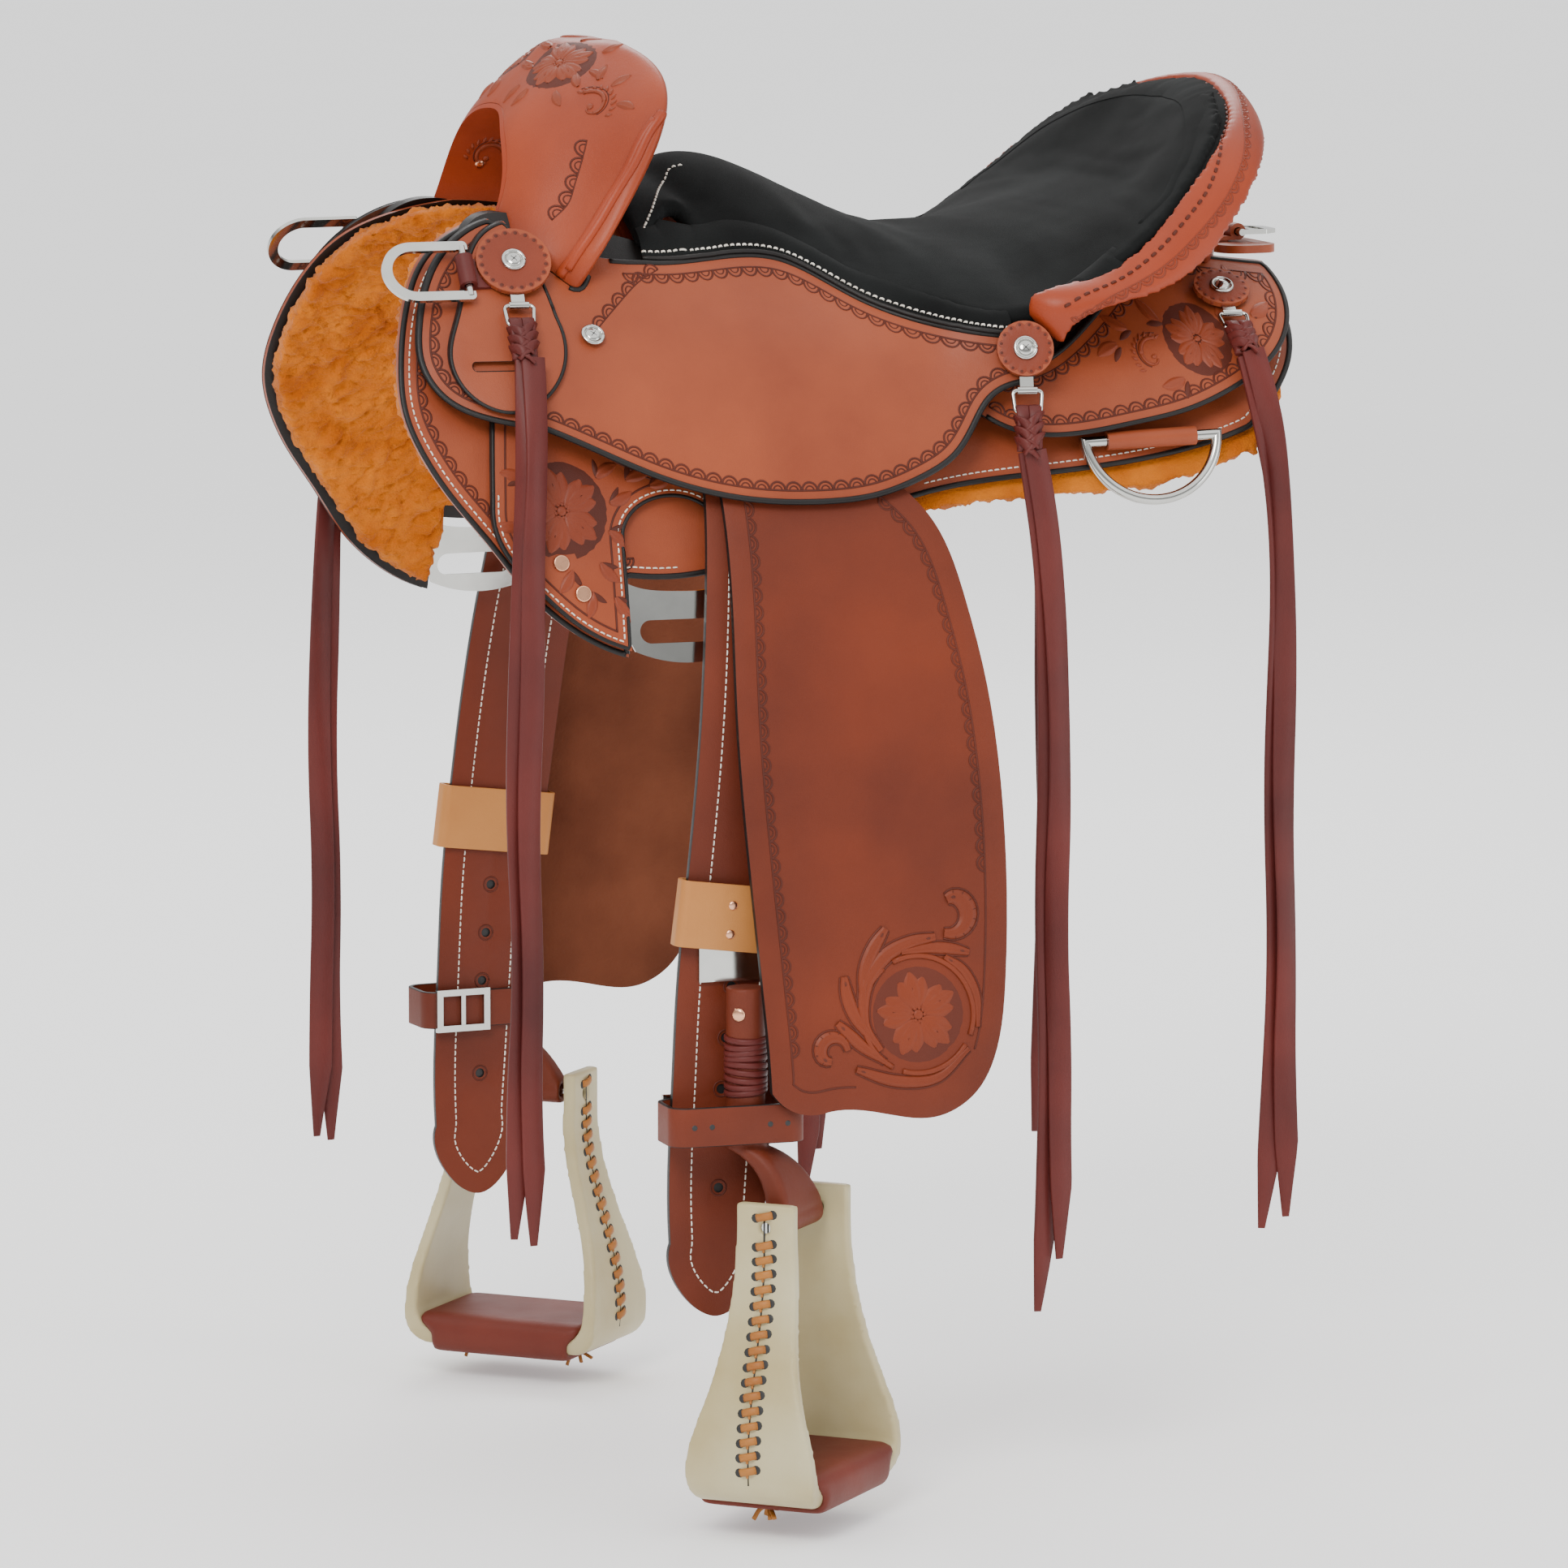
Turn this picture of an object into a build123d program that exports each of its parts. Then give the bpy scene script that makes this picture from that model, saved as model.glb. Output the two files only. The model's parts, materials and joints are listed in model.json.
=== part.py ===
from build123d import *
import math
import os

os.makedirs("parts", exist_ok=True)

# Western trail saddle without a horn. Millimetres. +X points to the tail, +Z up, and the rider's
# near (left) side is -Y. The origin is on the middle plane, where the spine channel rests.
# Twin parts are built on the off side (+Y) and mirrored to the near side.

# ---- driving dimensions -----------------------------------------------------------------------
# Side form: half-width of the outer skirt face under the ridge line of the back.
RIDGE_HEIGHT = 115.0
RIDGE_SLOPE = -0.16
RIDGE_CURVE = 0.00012
FORM_WIDTH = 245.0
FORM_DROP = 140.0
FORM_DROP_SLOPE = -0.21
FORM_STATIONS = (-330, -270, -210, -140, -70, 0, 70, 140, 210, 280, 350, 400)
FORM_BOTTOM = -215.0

SKIRT_THICK = 5.0
FLEECE_THICK = 17.0
LAYER_GAP = 0.3
BAR_OUT = 13.5          # outer face of the tree bars, above the skirt
RIG_IN = 2.6            # rigging leather lies over the steel plate
RIG_THICK = 3.5
PLATE_THICK = 2.0
REAR_JOCKEY_IN = 14.0
JOCKEY_FRONT_IN = 6.6
JOCKEY_LIFT = 21.0      # room for the leathers under the seat jockey
JOCKEY_HIGH_IN = 15.5   # beside the seat, where it lies on the bars
JOCKEY_THICK = 4.0
CANTLE_FLARE = 46.0     # how far the seat stands out beyond the bars at the cantle
CHANNEL_HALF = 14.0     # half of the gap between the two sides over the spine

# Leg: everything that swings from the hanger bolt.
HINGE = (-56.5, 161.3, -12.0)
HINGE_TILT = 30.0       # the bolt points this far above level
LEG_YAW = 3.0           # rear edge of the leg panels stands this far outward
LEATHER = 4.5
BOLT_R = 5.0
STRAP_WIDTH = 74.0
FENDER_TOP = 78.0

# Stirrup, in its own frame: bolt along local X, opening along local Y.
STIRRUP_AT = (-67.0, 266.0, -548.0)
STIRRUP_TURN = 135.0
STIRRUP_TOP_HALF = 48.0
STIRRUP_BOTTOM_HALF = 74.0
STIRRUP_WALL = 9.0
STIRRUP_DROP = 182.0
STIRRUP_RISE = 16.0
STIRRUP_TOP_DEEP = 42.0
STIRRUP_BOTTOM_DEEP = 88.0
STIRRUP_BOLT_R = 4.0

STRING_WIDTH = 19.0
STRING_THICK = 3.0


# ---- helpers ------------------------------------------------------------------------------------
def smooth(value, low, high):
    t = min(1.0, max(0.0, (value - low) / (high - low)))
    return t * t * (3.0 - 2.0 * t)


def ridge(x):
    return RIDGE_HEIGHT + RIDGE_SLOPE * x + RIDGE_CURVE * x * x


def form_y(x, z, offset=0.0):
    """Half-width of the side form at (x, z), moved outward by an offset along its normal."""
    drop = FORM_DROP + FORM_DROP_SLOPE * x
    decay = math.exp(-(ridge(x) - z) / drop)
    slope = FORM_WIDTH / drop * decay
    return FORM_WIDTH * (1.0 - decay) + offset * math.sqrt(1.0 + slope * slope)


def jockey_inner(x, z):
    lift = JOCKEY_LIFT + (JOCKEY_HIGH_IN - JOCKEY_LIFT) * smooth(z, 5, 50)
    return JOCKEY_FRONT_IN + (lift - JOCKEY_FRONT_IN) * smooth(x, -250, -190)


def seat_edge_z(x):
    return 80.0 - 45.0 * smooth(x, -60, 110)


def jockey_y(x, z, extra=0.0):
    """Seat jockey face: over the leathers, and flared out to the cantle corner."""
    flare = CANTLE_FLARE * smooth(x, 30, 150)
    return form_y(x, z, jockey_inner(x, z) + extra) + flare * math.exp(-(seat_edge_z(x) - z) / 40.0)


def loop_edges(segments, to_point):
    """Closed outline: each segment is a smooth run of points that starts where the last ended."""
    edges = []
    for points in segments:
        placed = [to_point(*p) for p in points]
        edges.append(Edge.make_line(*placed) if len(placed) == 2 else Edge.make_spline(placed))
    return Face(Wire(edges))


def side_prism(segments, y_from=CHANNEL_HALF, y_to=330.0):
    face = loop_edges(segments, lambda x, z: Vector(x, y_from, z))
    return Solid.extrude(face, Vector(0, y_to - y_from, 0))


def side_block(face_y, top_rise=10.0, stations=FORM_STATIONS):
    """Solid inside a side surface given as y(x, z), lofted through sections across the saddle."""
    sections = []
    for x in stations:
        top = ridge(x) + top_rise
        heights = [top - (top - FORM_BOTTOM) * (i / 9.0) ** 1.35 for i in range(10)]
        curve = [Vector(x, face_y(x, z), z) for z in heights]
        edges = [
            Edge.make_spline(curve),
            Edge.make_line(curve[-1], Vector(x, -220, FORM_BOTTOM)),
            Edge.make_line(Vector(x, -220, FORM_BOTTOM), Vector(x, -220, top)),
            Edge.make_line(Vector(x, -220, top), curve[0]),
        ]
        sections.append(Wire(edges))
    return Solid.make_loft(sections)


def one_solid(shape):
    return max(shape.solids(), key=lambda s: s.volume)


def layer(segments, outer, inner, y_from=CHANNEL_HALF):
    """Panel with a side-view outline, between two side surfaces."""
    return one_solid((side_prism(segments, y_from) & outer) - inner)


def surface_plane(face_y, x, z, roll=(0, 0, 1)):
    """Plane on a side surface: its normal points outward, its local Y runs up the surface."""
    step = 2.0
    at = Vector(x, face_y(x, z), z)
    along = Vector(2 * step, face_y(x + step, z) - face_y(x - step, z), 0)
    up = Vector(0, face_y(x, z + step) - face_y(x, z - step), 2 * step)
    normal = up.cross(along).normalized()
    if normal.Y < 0:
        normal = normal * -1
    x_dir = Vector(*roll).cross(normal).normalized()
    return Plane(origin=at, x_dir=x_dir, z_dir=normal)


def near(shape):
    return mirror(shape, about=Plane.XZ)


def off_half(shape):
    return shape & Pos(50, 200, 0) * Box(900, 400, 640)


def both(shapes):
    shapes = shapes if isinstance(shapes, (list, tuple)) else [shapes]
    return Compound(children=[s for shape in shapes for s in (shape, near(shape))])


def save(name, shape):
    export_step(shape, f"parts/{name}.step")


def save_twins(name, shape):
    save("off_" + name, shape)
    save("near_" + name, near(shape))


def box_at(x0, x1, y0, y1, z0, z1, radius=0.0):
    body = Box(x1 - x0, y1 - y0, z1 - z0)
    if radius:
        body = fillet(body.edges(), radius)
    return Pos((x0 + x1) / 2, (y0 + y1) / 2, (z0 + z1) / 2) * body


# ---- side surfaces --------------------------------------------------------------------------------
FORM = {s: side_block(lambda x, z, s=s: form_y(x, z, s)) for s in (
    -SKIRT_THICK - LAYER_GAP - FLEECE_THICK, -SKIRT_THICK - LAYER_GAP, -SKIRT_THICK, 0.0,
    LAYER_GAP, LAYER_GAP + PLATE_THICK, RIG_IN, RIG_IN + RIG_THICK,
    BAR_OUT, REAR_JOCKEY_IN, REAR_JOCKEY_IN + JOCKEY_THICK)}
JOCKEY = {e: side_block(lambda x, z, e=e: jockey_y(x, z, e)) for e in (
    0.0, JOCKEY_THICK, JOCKEY_THICK + LAYER_GAP, 2 * JOCKEY_THICK + LAYER_GAP)}

SKIRT_FRONT = [(-192, 103), (-234, 93), (-263, 76), (-283, 46), (-294, 11), (-296, -20), (-288, -46),
               (-270, -77), (-250, -103), (-225, -137), (-200, -160), (-160, -180)]
SKIRT_OUTLINE = [
    SKIRT_FRONT,
    [(-160, -180), (-158, -128)],
    [(-158, -128), (-80, -124), (0, -98), (70, -80), (150, -72), (236, -61), (290, -46)],
    [(290, -46), (318, -20), (335, 2), (344, 28), (340, 54)],
    [(340, 54), (300, 50), (200, 45), (100, 44), (0, 58), (-100, 88), (-192, 103)],
]
FLEECE_OUTLINE = [
    [(-196, 99), (-232, 89), (-259, 73), (-278, 44), (-289, 10), (-291, -20), (-283, -45),
     (-265, -75), (-245, -101), (-220, -133), (-196, -155), (-166, -172)],
    [(-166, -172), (-160, -130)],
    [(-160, -130), (-80, -130), (0, -108), (70, -92), (150, -86), (236, -78), (290, -60)],
    [(290, -60), (316, -34), (330, 0), (338, 28), (334, 50)],
    [(334, 50), (300, 46), (200, 41), (100, 40), (0, 54), (-100, 84), (-196, 99)],
]


def skirts():
    skirt = layer(SKIRT_OUTLINE, FORM[0.0], FORM[-SKIRT_THICK])
    save_twins("skirt", skirt)
    under = -SKIRT_THICK - LAYER_GAP
    save_twins("fleece", layer(FLEECE_OUTLINE, FORM[under], FORM[under - FLEECE_THICK]))
    return skirt


# ---- hinge frame of the leg ----------------------------------------------------------------------
def hinge_plane():
    """Plane of the leathers at the hanger bolt: normal along the bolt, local Y up the leather."""
    tilt = math.radians(HINGE_TILT)
    yaw = math.radians(LEG_YAW)
    normal = Vector(-math.sin(yaw) * math.cos(tilt), math.cos(yaw) * math.cos(tilt), math.sin(tilt))
    x_dir = Vector(math.cos(yaw), math.sin(yaw), 0)
    return Plane(origin=HINGE, x_dir=x_dir * -1, z_dir=normal)


BOLT_PLANE = hinge_plane()
LEG_SLOPE = math.tan(math.radians(HINGE_TILT))
FENDER_LINE = [(-90, 204), (-150, 226.5), (-200, 241), (-250, 253.5), (-330, 268), (-400, 277), (-500, 284)]
STRAP_GAP = LEATHER + 0.4
STRAP_LINE = [(-90, 198.6), (-150, 219), (-200, 230.8), (-250, 238), (-300, 241.2), (-350, 242.1),
              (-450, 242), (-640, 242)]


def leg_turn(shape):
    """Turns a leg part about the upright line through the hinge, as the leathers are turned."""
    return Pos(HINGE[0], HINGE[1], 0) * Rot(0, 0, LEG_YAW) * Pos(-HINGE[0], -HINGE[1], 0) * shape


def leg_panel(line, shift):
    """Leather sheet hanging from the hinge plane: flat at the bolt, then curved down to the vertical."""
    def plane_point(z, off):
        y = HINGE[1] - (z - HINGE[2]) * LEG_SLOPE + off / math.cos(math.radians(HINGE_TILT))
        return (y, z)

    def skin(off):
        flat = [plane_point(z, shift + off) for z in (40, -12, -55)]
        return flat, [(y + off, z) for z, y in line]

    pieces = []
    for side in (LEATHER / 2, -LEATHER / 2):
        flat, hanging = skin(side)
        pieces.append([Vector(-260, y, z) for y, z in flat + hanging])
    outer, inner = pieces
    edges = [
        Edge.make_line(outer[0], outer[1]), Edge.make_line(outer[1], outer[2]),
        Edge.make_spline(outer[2:], tangents=[outer[2] - outer[1], Vector(0, 0, -1)]),
        Edge.make_line(outer[-1], inner[-1]),
        Edge.make_spline(list(reversed(inner[2:])), tangents=[Vector(0, 0, 1), inner[1] - inner[2]]),
        Edge.make_line(inner[2], inner[1]), Edge.make_line(inner[1], inner[0]),
        Edge.make_line(inner[0], outer[0]),
    ]
    sheet = Solid.extrude(Face(Wire(edges)), Vector(500, 0, 0))
    return leg_turn(sheet)


def strap_top(half):
    """Round end of a strap about the hinge, in side view, from its front edge to its rear edge."""
    x, z = HINGE[0], HINGE[2]
    rise = half * math.cos(math.radians(HINGE_TILT))
    return [(x - half, z), (x - half * 0.71, z + rise * 0.71), (x, z + rise),
            (x + half * 0.71, z + rise * 0.71), (x + half, z)]


FENDER_OUTLINE = [
    strap_top(FENDER_TOP / 2),
    [(HINGE[0] + FENDER_TOP / 2, HINGE[2]), (0, -45), (30, -72), (50, -95), (66, -145), (75, -200),
     (79, -262), (79, -327), (75, -395), (67, -440), (52, -468), (24, -483), (-12, -479), (-54, -477)],
    [(-54, -477), (-76, -474), (-89, -462)],
    [(-89, -462), (-95, -360), (-99, -280), (-99, -225), (-95, -155), (-92, -90),
     (HINGE[0] - FENDER_TOP / 2, HINGE[2])],
]
STRAP_OUTLINE = [
    strap_top(STRAP_WIDTH / 2),
    [(HINGE[0] + STRAP_WIDTH / 2, HINGE[2]), (-42, -195), (-57, -320), (-68, -400), (-73, -460), (-80, -560)],
    [(-80, -560), (-88, -596), (-112, -616), (-136, -600), (-144, -566)],
    [(-144, -566), (-145, -530), (-142, -460), (-139, -400), (-131, -320), (-116, -195),
     (HINGE[0] - STRAP_WIDTH / 2, HINGE[2])],
]
STRAP_HOLES = ((-99, -360), (-102, -396), (-106, -430), (-109, -464), (-111, -530))


def bolt_hole(radius):
    return BOLT_PLANE * Pos(0, 0, -20) * Cylinder(radius, 60)


def fender():
    panel = leg_panel(FENDER_LINE, 0.0) & side_prism(FENDER_OUTLINE, 90, 330)
    save_twins("fender", one_solid(panel - bolt_hole(BOLT_R + 0.3)))


def stirrup_leather():
    panel = leg_panel(STRAP_LINE, -STRAP_GAP) & side_prism(STRAP_OUTLINE, 90, 330)
    panel -= bolt_hole(BOLT_R + 0.3)
    for x, z in STRAP_HOLES:
        panel -= Pos(x, 242, z) * Rot(90, 0, 0) * Cylinder(3.2, 40)
    save_twins("stirrup_leather", one_solid(panel))


def hanger_bolts():
    shank = BOLT_PLANE * Pos(0, 0, -4.6) * Cylinder(BOLT_R, 15.4)
    head = BOLT_PLANE * Pos(0, 0, 4.1) * Cylinder(12, 2.6)
    save("hanger_bolts", both(one_solid(shank + head)))


# ---- tree ------------------------------------------------------------------------------------------
BAR_OUTLINE = [
    [(-240, 78), (-246, 50), (-232, 18)],
    [(-232, 18), (-160, -8), (-60, -26), (40, -34), (140, -30), (250, -10)],
    [(250, -10), (296, 6), (306, 28), (294, 42)],
    [(294, 42), (200, 39), (100, 37), (0, 51), (-100, 80), (-190, 102)],
    [(-190, 102), (-226, 98), (-240, 78)],
]


def bar_block(outset):
    def outer(x, z):
        thin = smooth(x, -250, -190)
        return form_y(x, z, JOCKEY_FRONT_IN - 1.0 + (BAR_OUT - JOCKEY_FRONT_IN + 1.0) * thin + outset)
    return side_block(outer)


def tree_bar():
    bar = (side_prism(BAR_OUTLINE, 30) & bar_block(0.0)) - FORM[LAYER_GAP]
    pocket = BOLT_PLANE * Pos(0, -37, 12 - STRAP_GAP - LEATHER / 2 - 0.9) * Box(150, 166, 24)
    bar = one_solid(one_solid(bar) - pocket - bolt_hole(BOLT_R))
    save_twins("tree_bar", bar)
    return bar


# Swell: height, x of its front and rear, and the half-widths there.
SWELL = (
    (25, -226, -180, 100, 132), (75, -214, -150, 90, 132), (105, -206, -130, 78, 132),
    (135, -199, -112, 70, 131), (162, -187, -100, 62, 129), (184, -169, -93, 50, 114),
    (202, -150, -94, 32, 82), (213, -134, -104, 14, 40),
)
SWELL_WALL = 4.0
GULLET_HALF = 62.0
GULLET_CROWN = 168.0


def swell_body(shrink):
    """Swell without its tunnel: level sections lofted upward, all pulled in by the same amount."""
    wires = []
    for z, x_front, x_rear, front, rear in SWELL:
        x0, x1 = x_front + shrink, x_rear - shrink
        f, r = max(front - shrink, 4), max(rear - shrink, 8)
        span = x1 - x0
        half = [(x0, 0), (x0 + 0.04 * span, f * 0.7), (x0 + 0.22 * span, f * 1.12),
                (x0 + 0.62 * span, (f + 2 * r) / 3), (x1 - 0.10 * span, r), (x1, r * 0.82),
                (x1 - 0.02 * span, 0)]
        loop = half + [(x, -y) for x, y in reversed(half[1:-1])]
        height = z - shrink if z > 205 else z
        points = [Vector(x, y, height) for x, y in loop]
        wires.append(Wire([Edge.make_spline(points, periodic=True)]))
    return Solid.make_loft(wires)


def gullet_tunnel(grow):
    """Arched hand hole through the fork, along X."""
    half, crown = GULLET_HALF + grow, GULLET_CROWN + grow
    spring = crown - 68
    shoulder = (half * 0.62, crown - 14)
    arch = [(-half, spring), (-shoulder[0], shoulder[1]), (0, crown), shoulder, (half, spring)]
    edges = [
        Edge.make_line(Vector(-260, -half - 14, 0), Vector(-260, -half, spring)),
        Edge.make_spline([Vector(-260, y, z) for y, z in arch]),
        Edge.make_line(Vector(-260, half, spring), Vector(-260, half + 14, 0)),
        Edge.make_line(Vector(-260, half + 14, 0), Vector(-260, -half - 14, 0)),
    ]
    return Solid.extrude(Face(Wire(edges)), Vector(240, 0, 0))


def fork_parts(bar, jockey):
    """Wooden fork on the bars, its leather cover, and the leather lining of the gullet."""
    tunnel, lining_out, wood_cut = gullet_tunnel(0.0), gullet_tunnel(3.0), gullet_tunnel(3.3)
    outer = swell_body(0.0)
    below = box_at(-300, 0, -200, 200, -60, 46)
    on_jockey = JOCKEY[JOCKEY_THICK + LAYER_GAP] & box_at(-300, 0, 0, 200, -60, 84)
    taken = [off_half(FORM[LAYER_GAP]), bar]

    def clear(body, extra=()):
        for other in taken + list(extra):
            body = body - other - near(other)
        return one_solid(body)

    save("tree_fork", clear(swell_body(SWELL_WALL + LAYER_GAP) - wood_cut - below, [jockey]))
    save("fork_cover", clear(outer - swell_body(SWELL_WALL) - wood_cut - below, [on_jockey]))
    save("gullet_lining", clear(((lining_out - tunnel) & outer) - below))


# ---- seat -------------------------------------------------------------------------------------------
# Seat sections: x, half-width of the edge, edge height, height on the middle line.
SEAT = (
    (-113, 98, 84, 126), (-60, 88, 86, 134), (-12, 88, 83, 127), (12, 98, 72, 116), (35, 114, 58, 105),
    (58, 130, 49, 96), (88, 156, 40, 87), (122, 176, 36, 83), (160, 181, 46, 84), (195, 181, 68, 90),
    (230, 174, 94, 100), (262, 158, 124, 117), (288, 134, 150, 138), (306, 100, 165, 157),
    (318, 62, 172, 168),
)
PAD_THICK = 11.0


def seat_block(drop, inset):
    """Everything under the seat surface, down to a flat floor, lofted from section to section."""
    wires = []
    for x, half, edge, middle in SEAT:
        half, edge, middle = half - inset, edge - drop, middle - drop
        rise = middle - edge
        shoulder = (half * 0.42, edge + rise * 0.80)
        top = [(half, edge), (half * 0.78, edge + rise * 0.30), shoulder, (0, middle)]
        curve = [Vector(x, y, z) for y, z in top] + [Vector(x, -y, z) for y, z in reversed(top[:-1])]
        base = edge - 40
        wires.append(Wire([
            Edge.make_spline(curve),
            Edge.make_line(curve[-1], Vector(x, -half, base)),
            Edge.make_line(Vector(x, -half, base), Vector(x, half, base)),
            Edge.make_line(Vector(x, half, base), curve[0]),
        ]))
    return Solid.make_loft(wires)


def seat_parts(bar, jockey, skirt):
    """Suede pad, and the ground seat below it."""
    swell = swell_body(-0.4)
    pad = seat_block(0.0, 0.0) - seat_block(PAD_THICK, -3.0) - swell
    pad = one_solid(pad - bar - near(bar))
    save("seat_pad", pad)
    ground = seat_block(PAD_THICK + LAYER_GAP, 8.0) - seat_block(PAD_THICK + 6.0, 5.0) - swell
    for other in (bar, jockey, skirt):
        ground = ground - other - near(other)
    save("ground_seat", one_solid(one_solid(ground) - pad))


# Cantle roll stations: half-width, x, height of the seam, then of the outer edge.
RIM = (
    (178, 132, 33, 192, 154, 14), (184, 181, 60, 194, 236, 53), (177, 227, 90, 176, 284, 90),
    (161, 262, 123, 152, 312, 119), (135, 291, 147, 119, 332, 138), (97, 311, 163, 79, 343, 155),
    (49, 323, 173, 38, 348, 167), (0, 328, 177, 0, 350, 171),
)
ROLL_THICK = 12.0


def rim_middle(row):
    return Vector((row[1] + row[4]) / 2, (row[0] + row[3]) / 2, (row[2] + row[5]) / 2)


def rim_section(i):
    """Closed rounded section of the roll: seam edge, crown, outer edge, underside."""
    row = RIM[i]
    seam, edge = Vector(row[1] + 2, row[0], row[2]), Vector(row[4], row[3], row[5])
    ahead = rim_middle(RIM[i + 1]) if i + 1 < len(RIM) else None
    behind = rim_middle(RIM[max(i - 1, 0)])
    travel = Vector(0, -1, 0) if ahead is None else (ahead - behind).normalized()
    across = edge - seam
    lift = across.cross(travel).normalized() * -1
    if lift.Z < 0:
        lift = lift * -1
    middle = (seam + edge) * 0.5
    crown = Edge.make_three_point_arc(seam, middle + lift * (ROLL_THICK * 0.45), edge)
    under = Edge.make_three_point_arc(edge, middle - lift * (ROLL_THICK * 0.55), seam)
    return Wire([crown, under])


def roll_body():
    half = Solid.make_loft([rim_section(i) for i in range(len(RIM))])
    return half.fuse(near(half))


def cantle_wall(outset):
    """Upright block inside the back of the seat in plan, moved outward by an outset."""
    path = [(150, 182), (225, 173), (272, 148), (304, 110), (320, 60), (326, 0)]
    outer = [Vector(x + outset, y + outset * 0.5, -20) for x, y in path]
    outer += [Vector(v.X, -v.Y, -20) for v in reversed(outer[:-1])]
    edges = [Edge.make_spline(outer), Edge.make_line(outer[-1], outer[0])]
    return Solid.extrude(Face(Wire(edges)), Vector(0, 0, 220))


def cantle_parts(bar, jockey, rear_jockey):
    """Cantle roll, the wooden cantle board, and the leather on its back under the roll."""
    swept = roll_body()
    pad_zone = seat_block(-0.3, -0.3)
    save("cantle_roll", one_solid(swept - pad_zone))
    roll_under = Pos(0, 0, -LAYER_GAP) * swept

    pocket = concho_room(*CONCHOS[2])

    def upright(outset, thick):
        wall = cantle_wall(outset) - cantle_wall(outset - thick)
        wall = wall - box_at(0, 200, -260, 260, -40, 220) - rim_top() - roll_under
        wall = wall - (seat_block(-30.0, -0.3) - seat_block(PAD_THICK + 6.6, 0.0))
        for other in (bar, jockey, rear_jockey, off_half(FORM[LAYER_GAP]), pocket):
            wall = wall - other - near(other)
        return one_solid(wall)

    save("tree_cantle", upright(-4.0, 18.0))
    save("cantle_back", upright(-0.5, 3.2))


def rim_top():
    """Everything above the rim line of the cantle."""
    wires = []
    for row in RIM:
        x, top = (row[1] + row[4]) / 2, (row[2] + row[5]) / 2 - ROLL_THICK * 0.5
        corners = [(x, -260, top), (x, 260, top), (x, 260, 260), (x, -260, 260)]
        wires.append(Wire(Polyline(*corners, close=True).edges()))
    return Solid.make_loft(wires, ruled=True)


# ---- side leathers ------------------------------------------------------------------------------------
SEAT_JOCKEY_OUTLINE = [
    [(-215, 101), (-242, 90), (-262, 72), (-279, 37), (-282, 12), (-272, -9), (-244, -24), (-208, -31)],
    [(-208, -31), (-175, -46), (-135, -64), (-67, -81), (-22, -83), (12, -80), (47, -69), (72, -55),
     (89, -34), (101, -19), (118, -11), (128, -10)],
    [(128, -10), (138, 8), (140, 20)],
    [(140, 20), (118, 22), (88, 26), (58, 34), (35, 44), (12, 58), (-12, 70), (-60, 73), (-113, 72)],
    [(-113, 72), (-160, 78), (-215, 101)],
]
REAR_JOCKEY_OUTLINE = [
    [(96, -30), (120, -43), (160, -46), (203, -40), (239, -33), (275, -20), (310, 0), (329, 20),
     (338, 44), (336, 58)],
    [(336, 58), (300, 62), (240, 68), (170, 66)],
    [(170, 66), (110, 40), (96, -30)],
]
RIGGING_OUTLINE = [
    [(-237, -16), (-242, -46), (-246, -77)],
    [(-246, -77), (-243, -105), (-222, -133), (-199, -155), (-160, -175)],
    [(-160, -175), (-158, -100)],
    [(-158, -100), (-150, -87), (-134, -79), (-118, -78), (-100, -85), (-89, -100), (-86, -124)],
    [(-86, -124), (-74, -120)],
    [(-74, -120), (-69, -98), (-74, -76)],
    [(-74, -76), (-112, -66), (-152, -46), (-237, -16)],
]
PLATE_OUTLINE = [
    [(-170, -122), (-158, -132), (-124, -138), (-92, -134), (-80, -120)],
    [(-80, -120), (-86, -150), (-91, -180)],
    [(-91, -180), (-124, -184), (-156, -176)],
    [(-156, -176), (-166, -150), (-170, -122)],
]
KEEPER_OUTLINE = [
    [(-206, 100), (-232, 86), (-252, 45), (-264, 14), (-258, -5), (-229, -20), (-199, -6), (-186, 14),
     (-186, 40)],
    [(-186, 40), (-192, 70), (-206, 100)],
]
PLATE_SLOT = (-152, -97, -171, -156)
KEEPER_SLOT = (-250, -203, 7, 13)


def slot_cut(slot):
    """Round-ended slot through a panel, along Y."""
    x0, x1, z0, z1 = slot
    tool = extrude(SlotOverall(x1 - x0, z1 - z0), 200)
    return Pos((x0 + x1) / 2, 320, (z0 + z1) / 2) * Rot(90, 0, 0) * tool


def rivet_group(places, face_y, radius, high, deep=0.0):
    """Domed heads standing on a side surface."""
    heads = []
    for x, z in places:
        plane = surface_plane(face_y, x, z)
        dome = Pos(0, 0, high / 2 - deep / 2) * Cylinder(radius, high + deep)
        heads.append(plane * fillet(dome.edges().sort_by(Axis.Z)[-1], high * 0.6))
    return heads


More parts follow.
